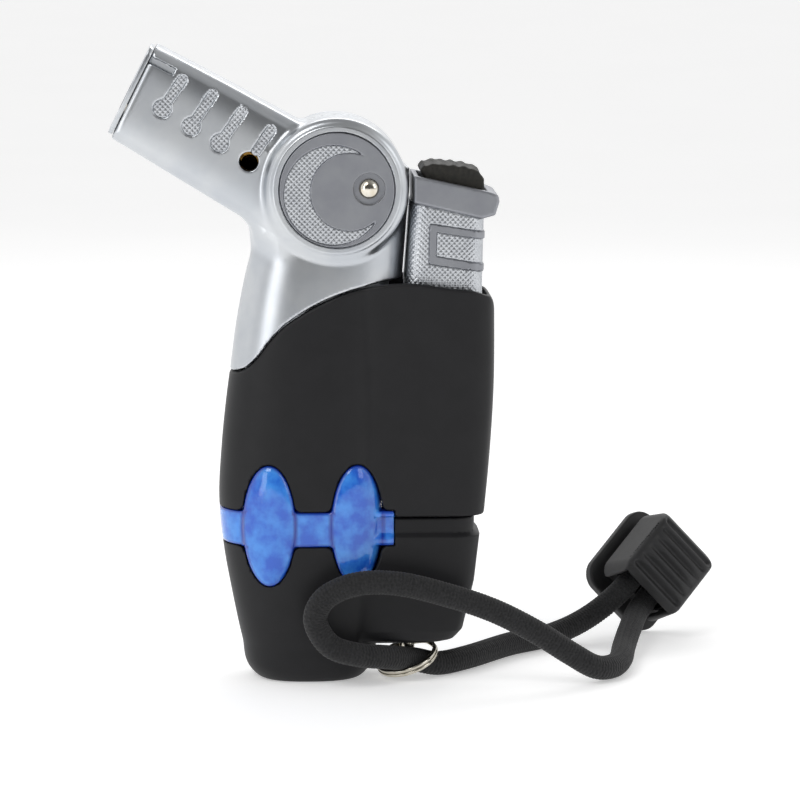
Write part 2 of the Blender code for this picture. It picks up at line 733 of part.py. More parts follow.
def side_disc(word, side):
    """Round cover with a sunk crescent and a counterbore for the rivet head."""
    inner = side * (DISC_FACE - DISC_THICK)
    outer = side * DISC_FACE
    disc = rod(f"side_disc_{word}", DISC_RADIUS, (DISC[0], inner, DISC[1]),
               (DISC[0], outer, DISC[1]), SATIN_ZINC, helper=False, sides=32)
    crescent = []
    for circle, turn in (
        (CRESCENT_OUTER, CRESCENT_OUTER_TURN), (CRESCENT_INNER, CRESCENT_INNER_TURN),
    ):
        for i in range(19):
            angle = math.radians(turn[0] + (turn[1] - turn[0]) * i / 18)
            crescent.append((circle[0] + circle[2] * math.cos(angle),
                             circle[1] + circle[2] * math.sin(angle)))
    cut(
        disc,
        prism(f"crescent_{word}", crescent,
              side * (DISC_FACE - CRESCENT_DEPTH), side * 14.0),
        rod(f"counterbore_{word}", COUNTERBORE[0],
            (RIVET[0], side * (DISC_FACE - COUNTERBORE[1]), RIVET[1]),
            (RIVET[0], side * 14.0, RIVET[1]), sides=24),
        rod(f"disc_rivet_hole_{word}", RIVET_RADIUS + SNUG, (RIVET[0], -14.0, RIVET[1]),
            (RIVET[0], 14.0, RIVET[1]), sides=16),
    )
    return disc


def head_rivet():
    seat, crown = DISC_FACE - COUNTERBORE[1] + 0.1, DISC_FACE + 0.35
    half = [(0.0, crown), (0.75, crown - 0.1), (1.3, crown - 0.4), (RIVET_HEAD, crown - 0.85),
            (RIVET_HEAD, seat), (RIVET_RADIUS, seat)]
    profile = [*half, *[(radius, -height) for radius, height in reversed(half)]]
    turned("head_rivet", profile, (RIVET[0], 0.0, RIVET[1]), (0, -1, 0), NICKEL)


def burner():
    """Jet, mixing tube, cup and flame plate in line inside the arm."""
    turned(
        "burner_tube",
        [(3.2, -6.0), (3.2, -26.0), (2.5, -26.0), (2.5, -6.0)],
        along_arm(0.0, BURNER_UP), ARM_AXIS, BRASS, closed=True,
    )
    hole = along_arm(22.9, -0.4)
    cut(bpy.data.objects["burner_tube"],
        rod("tube_air_hole", 1.35, (hole[0], -9.0, hole[2]), (hole[0], 0.0, hole[2])))
    turned(
        "flame_cup",
        [(4.3, -2.0), (4.3, -8.6), (3.4, -8.6), (3.4, -5.4), (3.8, -5.0), (3.8, -2.0)],
        along_arm(0.0, BURNER_UP), ARM_AXIS, SATIN_STEEL, closed=True, steps=18,
    )
    plate = turned(
        "flame_plate",
        [(0.0, -3.6), (3.6, -3.6), (3.6, -4.5), (0.0, -4.5)],
        along_arm(0.0, BURNER_UP), ARM_AXIS, BRASS, steps=18,
    )
    for i in range(6):
        angle = math.radians(60.0 * i)
        up, side = 2.2 * math.cos(angle) + BURNER_UP, 2.2 * math.sin(angle)
        cut(plate, rod(f"flame_hole_{i}", 0.6, along_arm(0.0, up, side),
                       along_arm(9.0, up, side), sides=10))
    turned(
        "gas_jet",
        [(0.35, -26.8), (1.5, -26.8), (1.9, -27.4), (1.9, -30.0), (1.25, -30.2), (1.25, -32.4),
         (0.6, -32.4), (0.6, -28.6), (0.35, -28.2)],
        along_arm(0.0, BURNER_UP), ARM_AXIS, BRASS, closed=True,
    )
    turned(
        "electrode_insulator",
        [(0.55, -4.6), (1.0, -4.6), (1.0, -24.0), (0.55, -24.0)],
        along_arm(0.0, -5.2), ARM_AXIS, CERAMIC, closed=True, steps=16,
    )
    tube(
        "spark_electrode",
        [along_arm(24.6, -5.2), along_arm(3.2, -5.2), along_arm(2.3, -5.0),
         along_arm(1.6, -4.2), along_arm(1.35, -2.6)],
        0.35, NICKEL,
    )


def end_plate():
    """Thin plate with a round port that closes the arm's open end."""
    half_high, half_wide, corner = 7.75, 7.1, 1.6
    rings = []
    for back in (0.05, 0.7):
        ring = []
        for i, (sy, su) in enumerate(((1, 1), (-1, 1), (-1, -1), (1, -1))):
            for k in range(4):
                turn = math.radians(90.0 * i + 30.0 * k)
                side = sy * (half_wide - corner) + corner * math.cos(turn)
                up = su * (half_high - corner) + corner * math.sin(turn)
                ring.append(at_mouth(back, up, side))
        rings.append(ring)
    bm = bmesh.new()
    loft(bm, rings)
    plate = keep("nozzle_end_plate", bm, SATIN_STEEL)
    cut(plate, rod("nozzle_port", 4.9, along_arm(-4.0, BURNER_UP), along_arm(4.0, BURNER_UP),
                   sides=32))
    return plate


def gas_line():
    jet = along_arm(32.8, BURNER_UP)
    tube(
        "gas_hose",
        smooth_route(
            [(VALVE_X - 3.9, 0.0, 41.9), (VALVE_X - 4.9, 0.0, 42.6), (VALVE_X - 5.0, 0.0, 46.0),
             (-5.6, 0.0, 54.0), (-3.6, 0.0, 66.0), (1.0, 0.0, 75.0),
             (jet[0] + 2.4, 0.0, jet[2] - 1.9), (jet[0] + 0.2, 0.0, jet[2] - 0.1)], 4,
        ),
        0.85, HOSE_GREY,
    )
    tube(
        "ignition_lead",
        smooth_route(
            [(18.5, 2.6, 42.0), (15.5, 3.8, 42.6), (11.5, 4.0, 44.8), (9.0, 3.2, 50.8),
             (6.5, 3.2, 60.0), (3.0, 2.6, 68.0), (0.4, 2.0, 73.4), along_arm(33.0, -4.7, 1.2),
             along_arm(29.0, -5.2, 0.4), along_arm(25.0, -5.2)],
            3,
        ),
        0.5, WIRE_RED, resolution=1,
    )


# ==== button and piezo ===================================================================
def button():
    front, rear, _ = between(SKIRT, SKIRT_BOTTOM)
    origin = ((front + rear) / 2, 0.0, SKIRT_BOTTOM)
    cap = column("button_cap", SKIRT, SKIRT_BOTTOM, 79.6, 0.0, SKIRT_POWER, SATIN_ZINC,
                 helper=False)
    cap.data.transform(Matrix.Translation(-metres(*origin)))
    cap.location = metres(*origin)
    sloped_top = prism("above_cap", [(12.0, 84.7), (34.0, 79.8), (34.0, 90.0), (12.0, 90.0)],
                       -12.0, 12.0)
    bm = bmesh.new()
    loft(bm, [[(x, y, z) for x, z in CAP_OUTLINE] for y in (-7.4, 7.4)])
    bmesh.ops.bevel(bm, geom=list(bm.edges), offset=0.5, segments=2, affect="EDGES",
                    profile=0.5)
    crown = keep("button_crown", bm, None, helper=True)
    rib = column("button_rib", SKIRT, 60.0, 79.6, -RIB_PROUD, SKIRT_POWER)
    outline = prism(
        "rib_outline",
        [(19.6, 75.6), (30.0, 74.0), (30.0, 72.8), (20.7, 74.3), (20.5, 70.3), (30.0, 68.7),
         (30.0, 67.5), (19.4, 69.1)],
        -9.0, 9.0,
    )
    boolean(rib, outline, "INTERSECT")
    join(cap, crown, rib)
    hollow = column("button_hollow", SKIRT, 50.0, 76.6, SKIRT_WALL, SKIRT_POWER)
    pocket = prism("pad_pocket",
                   [(17.9, 82.3), (28.9, 79.85), (28.9, 90.0), (17.9, 90.0)], -5.9, 5.9)
    cut(cap, sloped_top, hollow, pocket)
    pad_outline = [
        (18.2, 82.55), (18.2, 84.5), (19.0, 85.3), (20.3, 85.75), (21.2, 85.0), (22.3, 85.5),
        (23.2, 84.8), (24.3, 85.2), (25.2, 84.5), (26.3, 84.8), (27.6, 84.2), (28.4, 83.0),
        (28.6, 80.25),
    ]
    bm = bmesh.new()
    loft(bm, [[(x, y, z) for x, z in pad_outline] for y in (-5.6, 5.6)])
    long_edges = [
        edge for edge in bm.edges
        if all(abs(abs(v.co.y) - 5.6) < 1e-6 for v in edge.verts)
        and edge.verts[0].co.y * edge.verts[1].co.y > 0
        and max(v.co.z for v in edge.verts) > 83.0
    ]
    bmesh.ops.bevel(bm, geom=long_edges, offset=0.45, segments=2, affect="EDGES", profile=0.5)
    keep("thumb_pad", bm, PAD_RUBBER, at=origin)


def piezo():
    low, high = PIEZO_X
    housing = block("piezo_housing", (low, -PIEZO_HALF, 33.0), (high, PIEZO_HALF, 61.0),
                    GREY_PLASTIC, helper=False, edge=0.6)
    cut(housing, block("piezo_well", (low + 1.2, -PIEZO_HALF + 1.2, 50.0),
                       (high - 1.2, PIEZO_HALF - 1.2, 64.0)))
    plunger_low, plunger_high = low + 1.5, high - 1.5
    origin = ((low + high) / 2, 0.0, 55.5)
    plunger = block("piezo_plunger", (plunger_low, -PIEZO_HALF + 1.5, 55.5),
                    (plunger_high, PIEZO_HALF - 1.5, 76.3), SATIN_STEEL, at=origin,
                    helper=False, edge=0.4)
    middle = (low + high) / 2
    cut(plunger, rod("plunger_spring_well", 1.9, (middle, 0.0, 50.0), (middle, 0.0, 66.0)))
    coil("piezo_return_spring", (middle, 0.0, 50.2), (0, 0, 1), 1.35, 0.3, 15.5, 6,
         SPRING_STEEL)


# ==== lanyard ============================================================================
def lanyard_post():
    post = rod("lanyard_post", 1.5, (POST_X, POST_Y, 2.9), (POST_X, POST_Y, 5.9), NICKEL,
               helper=False, sides=20)
    join(post, rod("post_shank", 0.85, (POST_X, POST_Y, 5.0), (POST_X, POST_Y, 10.4)))
    cut(post, rod("post_eye", 1.0, (POST_X - 4.4, POST_Y, EYE_HEIGHT - 1.3),
                  (POST_X + 3.6, POST_Y, EYE_HEIGHT + 1.3), sides=16))
    return post


def split_ring():
    """Two touching turns of wire, drawn as one closed loop with a groove between them."""
    lean_left, lean_front = math.radians(20.0), math.radians(19.0)
    normal = Vector((-math.sin(lean_left), -math.sin(lean_front), 1.0)).normalized()
    turn = Vector((0.0, 0.0, 1.0)).rotation_difference(normal).to_matrix().to_4x4()
    half, wire = RING_PITCH / 2, RING_WIRE
    section = [
        (0.0, wire + half), (wire * 0.8, half + wire * 0.6), (wire, half), (wire * 0.45, 0.0),
        (wire, -half), (wire * 0.8, -half - wire * 0.6), (0.0, -half - wire),
        (-wire * 0.8, -half - wire * 0.6), (-wire, -half), (-wire * 0.45, 0.0),
        (-wire, half), (-wire * 0.8, half + wire * 0.6),
    ]
    bm = bmesh.new()
    rows = []
    count = 28
    for i in range(count):
        angle = 2 * math.pi * i / count
        spot = Vector((math.cos(angle), math.sin(angle), 0.0))
        rows.append([
            bm.verts.new(Vector(RING_CENTRE) + turn.to_3x3() @ (
                spot * (RING_RADIUS + out) + Vector((0.0, 0.0, up * 0.55))
            ))
            for out, up in section
        ])
    for i in range(count):
        low, high = rows[i], rows[(i + 1) % count]
        for j in range(len(section)):
            k = (j + 1) % len(section)
            bm.faces.new((low[j], low[k], high[k], high[j]))
    return keep("split_ring", bm, NICKEL, at=RING_CENTRE)


def lock_frame():
    """Turn the cord lock's own axes (long, across, out) into the standing frame."""
    long = Vector(LOCK_LONG).normalized()
    across = Vector(LOCK_ACROSS)
    across = (across - long * across.dot(long)).normalized()
    out = across.cross(long)
    return Matrix((long, across, -out if out.y > 0 else out)).transposed()


LOCK_TURN = lock_frame()


def lock_point(long, across, out):
    """A point of the cord lock given in its own axes, in standing millimetres."""
    return Vector(LOCK_CENTRE) + LOCK_TURN @ Vector((long, across, out))


def rounded_rectangle(half_long, half_across, corner, per_corner=4):
    points = []
    for i, (sx, sy) in enumerate(((1, 1), (-1, 1), (-1, -1), (1, -1))):
        for k in range(per_corner):
            turn = math.radians(90.0 * i + 90.0 * k / (per_corner - 1))
            points.append((sx * (half_long - corner) + corner * math.cos(turn),
                           sy * (half_across - corner) + corner * math.sin(turn)))
    return points


def lock_stack(name, levels, surface=None, helper=True, shift=0.0):
    """Rounded rectangles stacked along the lock's own out axis."""
    rings = []
    for out, half_long, half_across, corner in levels:
        rings.append([
            (long + shift, across, out)
            for long, across in rounded_rectangle(half_long, half_across, corner)
        ])
    bm = bmesh.new()
    loft(bm, rings)
    obj = keep(name, bm, surface, helper=helper)
    obj.matrix_world = Matrix.Translation(metres(*LOCK_CENTRE)) @ LOCK_TURN.to_4x4()
    return obj


def cord_lock():
    """Sprung toggle: the ribbed cap slides down on the flanged base to free the cord."""
    base = lock_stack(
        "cord_lock_base",
        [(-1.0, 8.2, 7.4, 3.0), (-0.6, 8.8, 8.0, 3.4), (0.6, 8.8, 8.0, 3.4),
         (1.0, 8.3, 7.5, 3.0)],
        LOCK_BLACK, helper=False,
    )
    slot_along, slot_up = LOCK_SLOT_HALF
    core = lock_stack("lock_core", [(0.0, 5.4, 5.6, 0.8), (8.6, 5.4, 5.6, 0.8)])
    core_slot = lock_stack(
        "lock_core_slot", [(LOCK_SLOT_HEIGHT - slot_up, 12.0, slot_along, 0.8),
                           (LOCK_SLOT_HEIGHT + slot_up, 12.0, slot_along, 0.8)],
    )
    join(base, core)
    cut(base, core_slot)
    cap = lock_stack(
        "cord_lock_cap",
        [(1.3 + LOCK_TRAVEL, 7.7, 7.0, 2.2), (7.4, 7.7, 7.0, 2.4), (10.6, 7.5, 6.8, 2.4),
         (12.0, 6.7, 6.0, 2.2), (12.9, 5.2, 4.6, 2.0)],
        LOCK_BLACK, helper=False,
    )
    room = lock_stack("lock_cap_room", [(0.0, 5.8, 6.0, 0.8), (10.9, 5.8, 6.0, 0.8)])
    cap_slot = lock_stack(
        "lock_cap_slot",
        [(1.0, 12.0, slot_along, 0.8),
         (LOCK_SLOT_HEIGHT + slot_up + LOCK_TRAVEL, 12.0, slot_along, 0.8)],
        shift=-6.0,
    )
    grooves = []
    for i in range(5):
        where = -4.4 + 2.2 * i
        groove = lock_stack(
            f"lock_groove_{i}", [(11.8, 0.5, 9.0, 0.2), (16.0, 1.6, 9.0, 0.2)], shift=where,
        )
        grooves.append(groove)
    cut(cap, room, cap_slot, *grooves)
    coil("cord_lock_spring", tuple(lock_point(0.0, 0.0, 8.8)), tuple(LOCK_TURN.col[2]),
         1.5, 0.25, 1.9, 2, SPRING_STEEL)


def lanyard_cord():
    """One length of bungee: both ends in the lock, through the ring, round in front."""
    slot = LOCK_SLOT_HEIGHT
    strand = 2.35
    first = [lock_point(5.0, -strand, slot), lock_point(0.0, -strand, slot),
             lock_point(-8.0, -strand, slot)]
    last = [lock_point(-8.0, strand, slot), lock_point(0.0, strand, slot),
            lock_point(5.0, strand, slot)]
    middle = [
        (48.6, 24.6, 4.4), (42.0, 20.5, 2.2), (34.0, 12.5, 2.14), (26.5, 2.2, 2.12),
        (21.2, -2.6, 2.08), (17.0, -4.8, 3.2), (12.6, -9.4, 4.5), (7.2, -12.9, 5.7),
        (2.9, -13.4, 7.4), (0.6, -13.6, 11.6), (2.4, -13.8, 15.4), (7.6, -13.9, 17.6),
        (14.4, -13.8, 17.5), (22.6, -13.5, 15.4), (29.8, -13.0, 12.8), (36.6, -12.4, 9.2),
        (42.4, -11.6, 5.4), (46.6, -10.2, 2.8), (49.8, -6.8, 2.15), (51.8, -0.6, 2.12),
        (53.2, 8.6, 2.3), (55.0, 17.0, 3.6),
    ]
    route = smooth_route([*first, *middle, *last], 3)
    tube("lanyard_cord", route, CORD_DIAMETER / 2, CORD_BLACK, at=(POST_X, POST_Y, EYE_HEIGHT))


upper_shell()
lower_shell()
fuel_tank()
tank_lid()
outlet_valve()
gas_lever()
fill_and_adjust()
for word, side in (("near", -1), ("far", 1)):
    head_half(word, side)
    side_disc(word, side)
head_rivet()
burner()
end_plate()
gas_line()
button()
piezo()
lanyard_post()
split_ring()
cord_lock()
lanyard_cord()
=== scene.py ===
"""Pocket butane torch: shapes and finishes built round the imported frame.

Sizes in the classes are millimetres; `MM` turns them into metres once, when a mesh is made.
"""

import logging
import math
from dataclasses import dataclass
from enum import Enum
from typing import Callable, Sequence

import bmesh
import bpy
import numpy as np
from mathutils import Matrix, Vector


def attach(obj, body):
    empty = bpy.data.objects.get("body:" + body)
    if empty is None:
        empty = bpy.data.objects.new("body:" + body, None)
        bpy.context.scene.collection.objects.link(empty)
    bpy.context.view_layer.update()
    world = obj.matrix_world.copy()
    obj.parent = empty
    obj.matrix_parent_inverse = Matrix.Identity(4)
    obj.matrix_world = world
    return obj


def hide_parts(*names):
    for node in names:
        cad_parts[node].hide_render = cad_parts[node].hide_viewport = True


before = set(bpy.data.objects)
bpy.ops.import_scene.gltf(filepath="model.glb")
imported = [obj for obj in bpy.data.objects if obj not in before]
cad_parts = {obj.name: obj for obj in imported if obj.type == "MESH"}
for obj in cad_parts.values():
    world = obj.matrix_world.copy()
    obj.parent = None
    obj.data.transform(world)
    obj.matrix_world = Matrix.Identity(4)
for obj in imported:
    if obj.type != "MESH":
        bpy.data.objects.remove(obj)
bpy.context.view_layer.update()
LOG = logging.getLogger("torch")

MM = 0.001


class Side(Enum):
    """The two faces of the torch, with the sign of y on each."""

    NEAR = -1.0
    FAR = 1.0


class Body(Enum):
    """CAD bodies that pieces ride on."""

    TORCH = "torch_body"
    BUTTON = "button"
    RING = "ring"
    LOCK_CAP = "lock_cap"
Array = np.ndarray
Field = Callable[[Array], Array]
Point = tuple[float, float, float]
Outline = Sequence[tuple[float, float]]


# ---- colours and nodes ------------------------------------------------------------------
def linear(colour: str) -> tuple[float, float, float, float]:
    """Turn an sRGB hex colour into linear light.

    Args:
        colour: Six hex digits after a hash sign.

    Returns:
        Red, green, blue and a full alpha.
    """
    parts = [int(colour[i:i + 2], 16) / 255 for i in (1, 3, 5)]
    red, green, blue = (
        c / 12.92 if c <= 0.04045 else ((c + 0.055) / 1.055) ** 2.4 for c in parts
    )
    return red, green, blue, 1.0


def add_node(
    tree: bpy.types.NodeTree,
    kind: str,
    inputs: dict[str | int, object] | None = None,
    **settings: object,
) -> bpy.types.Node:
    """Add one node with its settings, values and links.

    Args:
        tree: Node tree that takes the node.
        kind: Blender's type name of the node.
        inputs: Socket name or number to a value, or to the output socket linked to it.
        settings: Attributes of the node.

    Returns:
        The new node.
    """
    made = tree.nodes.new(kind)
    for name, value in settings.items():
        setattr(made, name, value)
    for socket, value in (inputs or {}).items():
        if isinstance(value, bpy.types.NodeSocket):
            tree.links.new(value, made.inputs[socket])
        else:
            made.inputs[socket].default_value = value
    return made


@dataclass(frozen=True)
class Finish:
    """What one surface is made of and how it was made.

    Grain sizes are millimetres between one grain and the next.
    """

    name: str
    colour: str
    roughness: float
    metallic: float = 0.0
    second: str = ""
    patch: float = 3.0
    grain: float = 0.3
    bump: float = 0.01
    swing: float = 0.05
    coat: float = 0.0
    coat_roughness: float = 0.1
    ior: float = 1.5
    specular: float = 0.5
    glow: float = 0.0

    def coordinates(self, tree: bpy.types.NodeTree) -> bpy.types.NodeSocket:
        """Return object coordinates in millimetres.

        Args:
            tree: Node tree that takes the nodes.

        Returns:
            The socket that carries them.
        """
        place = add_node(tree, "ShaderNodeTexCoord")
        scaled = add_node(
            tree, "ShaderNodeMapping",
            {"Vector": place.outputs["Object"], "Scale": (1000.0, 1000.0, 1000.0)},
        )
        return scaled.outputs["Vector"]

    def colour_of(self, tree: bpy.types.NodeTree, place: bpy.types.NodeSocket) -> bpy.types.NodeSocket:
        """Return the base colour: two close shades in soft patches.

        Args:
            tree: Node tree that takes the nodes.
            place: Coordinates in millimetres.

        Returns:
            The socket that carries the colour.
        """
        cloud = add_node(
            tree, "ShaderNodeTexNoise",
            {"Vector": place, "Scale": 1.0 / self.patch, "Detail": 3.0, "Roughness": 0.55},
        )
        ramp = add_node(tree, "ShaderNodeValToRGB", {"Fac": cloud.outputs["Fac"]})
        ramp.color_ramp.elements[0].position = 0.35
        ramp.color_ramp.elements[1].position = 0.65
        ramp.color_ramp.elements[0].color = linear(self.colour)
        ramp.color_ramp.elements[1].color = linear(self.second or self.colour)
        return ramp.outputs["Color"]

    def height_of(self, tree: bpy.types.NodeTree, place: bpy.types.NodeSocket) -> bpy.types.NodeSocket:
        """Return the surface height that the bump reads, from 0 to 1.

        Args:
            tree: Node tree that takes the nodes.
            place: Coordinates in millimetres.

        Returns:
            The socket that carries the height.
        """
        noise = add_node(
            tree, "ShaderNodeTexNoise",
            {"Vector": place, "Scale": 1.0 / self.grain, "Detail": 2.0, "Roughness": 0.6},
        )
        return noise.outputs["Fac"]

    def shade(self, shader: bpy.types.Node) -> None:
        """Set what is the same all over the surface on the shader's own sockets.

        Args:
            shader: The material's Principled node.
        """
        shader.inputs["Metallic"].default_value = self.metallic
        if self.metallic == 0.0:
            shader.inputs["IOR"].default_value = self.ior
        shader.inputs["Specular IOR Level"].default_value = self.specular
        if self.glow > 0.0:
            shader.inputs["Emission Color"].default_value = (1.0, 1.0, 1.0, 1.0)
            shader.inputs["Emission Strength"].default_value = self.glow
        if self.coat > 0.0:
            shader.inputs["Coat Weight"].default_value = self.coat
            shader.inputs["Coat Roughness"].default_value = self.coat_roughness

    def material(self) -> bpy.types.Material:
        """Return this finish's material, built on first use.

        Returns:
            The material.
        """
        made = bpy.data.materials.get(self.name)
        if made is not None:
            return made
        made = bpy.data.materials.new(self.name)
        made.use_nodes = True
        tree = made.node_tree
        shader = tree.nodes["Principled BSDF"]
        place = self.coordinates(tree)
        tree.links.new(self.colour_of(tree, place), shader.inputs["Base Color"])
        height = self.height_of(tree, place)
        spread = add_node(
            tree, "ShaderNodeMapRange",
            {"Value": height, "To Min": max(0.02, self.roughness - self.swing),
             "To Max": min(1.0, self.roughness + self.swing)},
        )
        tree.links.new(spread.outputs["Result"], shader.inputs["Roughness"])
        bump = add_node(
            tree, "ShaderNodeBump",
            {"Height": height, "Distance": self.bump * MM, "Strength": 1.0},
        )
        tree.links.new(bump.outputs["Normal"], shader.inputs["Normal"])
        self.shade(shader)
        return made


@dataclass(frozen=True)
class ClearPlastic(Finish):
    """Tinted clear SAN: a moulded fuel tank that light passes through."""

    clear: float = 0.25
    # Painted shade: the dark blue laid into the colour along the window edges, where refraction darkens
    # the clear wall.
    painted_edge_shade: str = "#1238a8"

    def colour_of(self, tree: bpy.types.NodeTree, place: bpy.types.NodeSocket) -> bpy.types.NodeSocket:
        """Return the base colour, with a painted shade of deep blue along the window and band edges.

        Args:
            tree: Node tree that takes the nodes.
            place: Coordinates in millimetres.

        Returns:
            The socket that carries the colour.
        """
        rim = add_node(tree, "ShaderNodeAttribute", attribute_name="rim")
        mixed = add_node(
            tree, "ShaderNodeMix",
            {0: rim.outputs["Fac"], 6: super().colour_of(tree, place), 7: linear(self.painted_edge_shade)},
            data_type="RGBA",
        )
        return mixed.outputs[2]

    def shade(self, shader: bpy.types.Node) -> None:
        """Let light through as well as the common settings."""
        super().shade(shader)
        shader.inputs["Transmission Weight"].default_value = self.clear


@dataclass(frozen=True)
class Braid(Finish):
    """Woven polyester cover: fuzz and the rows of yarn catch the light across the cord."""

    def shade(self, shader: bpy.types.Node) -> None:
        """Add the soft edge light of loose fibres.

        Args:
            shader: The material's Principled node.
        """
        super().shade(shader)
        shader.inputs["Sheen Weight"].default_value = 0.12
        shader.inputs["Sheen Roughness"].default_value = 0.5


# Satin-chromed die-cast zinc: blurred window reflections with a pearly drift across them.
CAST_ZINC = Finish("satin_chromed_zinc", "#c9cccf", 0.30, 1.0, second="#bfc3c8",
                   patch=6.0, grain=0.35, bump=0.0015, swing=0.03)
# The same plating on a blasted face: flatter, and with a darker colour that is painted shade for the dark
# reflection the flat disc and button faces catch.
BLASTED_ZINC_PAINTED_SHADE = Finish("blasted_zinc_painted_shade", "#9a9ca1", 0.46, 1.0, second="#92949a",
                      patch=4.0, grain=0.22, bump=0.003, swing=0.05)
# Coined diamond knurl left bright: each small facet throws its own glint.
BRIGHT_KNURL = Finish("bright_knurled_zinc", "#c6c9cd", 0.34, 1.0, second="#babdc2",
                      patch=2.0, grain=0.25, bump=0.002, swing=0.04)
# Soft-touch lacquer over ABS: near-black, with one wide and faint highlight.
SOFT_TOUCH = Finish("soft_touch_abs", "#1b1b1d", 0.50, second="#18181a", patch=5.0,
                    grain=0.25, bump=0.004, swing=0.04, specular=0.28)
# Blue tinted SAN, moulded clear: glossy outside, with a painted shade of deep blue along the window
# edges.
BLUE_TANK = ClearPlastic("blue_clear_san", "#4aa0ff", 0.08, second="#1f66e0", patch=2.8,
                         grain=1.1, bump=0.03, swing=0.02, coat=0.3, ior=1.57)
# Moulded nitrile rubber pad: dull, slightly brown black with dusty high spots.
PAD_RUBBER = Finish("pad_nitrile_rubber", "#1d1c19", 0.60, second="#272520", patch=0.8,
                    grain=0.18, bump=0.02, swing=0.08, specular=0.35)
# Polyester braid over rubber strands.
CORD_BRAID = Braid("cord_polyester_braid", "#1c1c1d", 0.86, second="#2c2c2d", patch=0.35,
                   grain=0.12, bump=0.02, swing=0.06, specular=0.3)
# Acetal lock moulding with a fine spark-eroded texture: matt charcoal.
LOCK_ACETAL = Finish("lock_acetal", "#252526", 0.52, second="#2a2a2b", patch=2.0,
                     grain=0.18, bump=0.012, swing=0.06, specular=0.35)
# Nickel-plated steel wire and pins: warm, sharp reflections.
NICKEL = Finish("nickel_plated_steel", "#d9d4c8", 0.14, 1.0, second="#c8c2b4", patch=1.5,
                grain=0.3, bump=0.001, swing=0.04)
# Polished nickel rivet head: the brightest, cleanest reflections on the torch.
RIVET_NICKEL = Finish("polished_nickel", "#e6e1d6", 0.10, 1.0, second="#d8cfbd",
                      patch=1.5, grain=0.3, bump=0.0008, swing=0.03)
# Turned brass burner and valve parts, a little tarnished.
BRASS = Finish("turned_brass", "#b98f4a", 0.30, 1.0, second="#8f6a33", patch=1.2,
               grain=0.2, bump=0.003, swing=0.08)
# Stainless steel pressings inside the head.
STEEL = Finish("stainless_pressing", "#a6a6a6", 0.28, 1.0, second="#989898", patch=2.0,
               grain=0.3, bump=0.002, swing=0.05)
# Drawn spring wire.
SPRING_WIRE = Finish("spring_wire", "#8c8c90", 0.32, 1.0, second="#7c7c80", patch=1.0,
                     grain=0.2, bump=0.002, swing=0.05)
# Steatite ceramic sleeve.
CERAMIC = Finish("steatite_ceramic", "#e2ddcf", 0.34, second="#d7d1c0", patch=2.0,
                 grain=0.3, bump=0.004, swing=0.06)
# Grey acetal inner mouldings.
GREY_ACETAL = Finish("grey_acetal", "#5c5c5f", 0.42, second="#535356", patch=3.0,
                     grain=0.3, bump=0.005, swing=0.06)
# Silicone gas hose.
HOSE = Finish("silicone_hose", "#8b8b8d", 0.55, second="#7e7e80", patch=1.5,
              grain=0.3, bump=0.005, swing=0.06)
# Red PVC sleeve of the ignition lead.
RED_LEAD = Finish("pvc_lead", "#a3201a", 0.40, second="#8d1b16", patch=1.5,
                  grain=0.3, bump=0.005, swing=0.06)


# ---- distance fields --------------------------------------------------------------------
def soft_min(a: Array, b: Array, blend: float) -> Array:
    """Join two distance fields with a fillet about `blend` wide."""
    share = np.clip(0.5 + 0.5 * (b - a) / blend, 0.0, 1.0)
    return b + (a - b) * share - blend * share * (1.0 - share)


def soft_max(a: Array, b: Array, blend: float) -> Array:
    """Keep what two distance fields share, with the edge rounded about `blend` wide."""
    return -soft_min(-a, -b, blend)


def outline_distance(x: Array, z: Array, outline: Outline) -> Array:
    """Distance to a closed outline, negative inside it.

    Args:
        x: First coordinates.
        z: Second coordinates.
        outline: Corners in order.

    Returns:
        One distance for each place.
    """
    nearest = np.full(x.shape, np.inf)
    sign = np.ones(x.shape)
    for (ax, az), (bx, bz) in zip(outline, [*outline[1:], outline[0]]):
        ex, ez, wx, wz = bx - ax, bz - az, x - ax, z - az
        t = np.clip((wx * ex + wz * ez) / (ex * ex + ez * ez), 0.0, 1.0)
        nearest = np.minimum(nearest, (wx - ex * t) ** 2 + (wz - ez * t) ** 2)
        above, below, left = z >= az, z < bz, ex * wz > ez * wx
        sign = np.where((above & below & left) | ~(above | below | left), -sign, sign)
    return sign * np.sqrt(nearest)


def plate(flat: Array, across: Array, half: float, edge: float) -> Array:
    """Give a flat distance thickness, with its edges rounded.

    Args:
        flat: Distance to the outline, seen from the side.
        across: Signed distance from the plate's middle plane.
        half: Half the thickness.
        edge: Radius of the rounded edges.

    Returns:
        Distance to the solid plate.
    """
    a, b = flat + edge, np.abs(across) - half + edge
    return np.minimum(np.maximum(a, b), 0.0) + np.hypot(np.maximum(a, 0.0), np.maximum(b, 0.0)) - edge


def eased(rows: Sequence[Sequence[float]], steps: int = 12) -> Array:
    """Pass a smooth curve through the rows of a table.

    Args:
        rows: Rows whose first number rises.
        steps: New rows to each old gap.

    Returns:
        The dense table.
    """
    table = np.array(rows, float)
    at, values = table[:, 0], table[:, 1:]
    slope = np.gradient(values, at, axis=0)
    dense = []
    for i in range(len(at) - 1):
        gap = at[i + 1] - at[i]
        for step in range(steps):
            t = step / steps
            h = (2 * t**3 - 3 * t**2 + 1, t**3 - 2 * t**2 + t, 3 * t**2 - 2 * t**3, t**3 - t**2)
            dense.append([at[i] + gap * t, *(
                h[0] * values[i] + h[1] * gap * slope[i] + h[2] * values[i + 1]
                + h[3] * gap * slope[i + 1]
            )])
    dense.append([at[-1], *values[-1]])
    return np.array(dense)


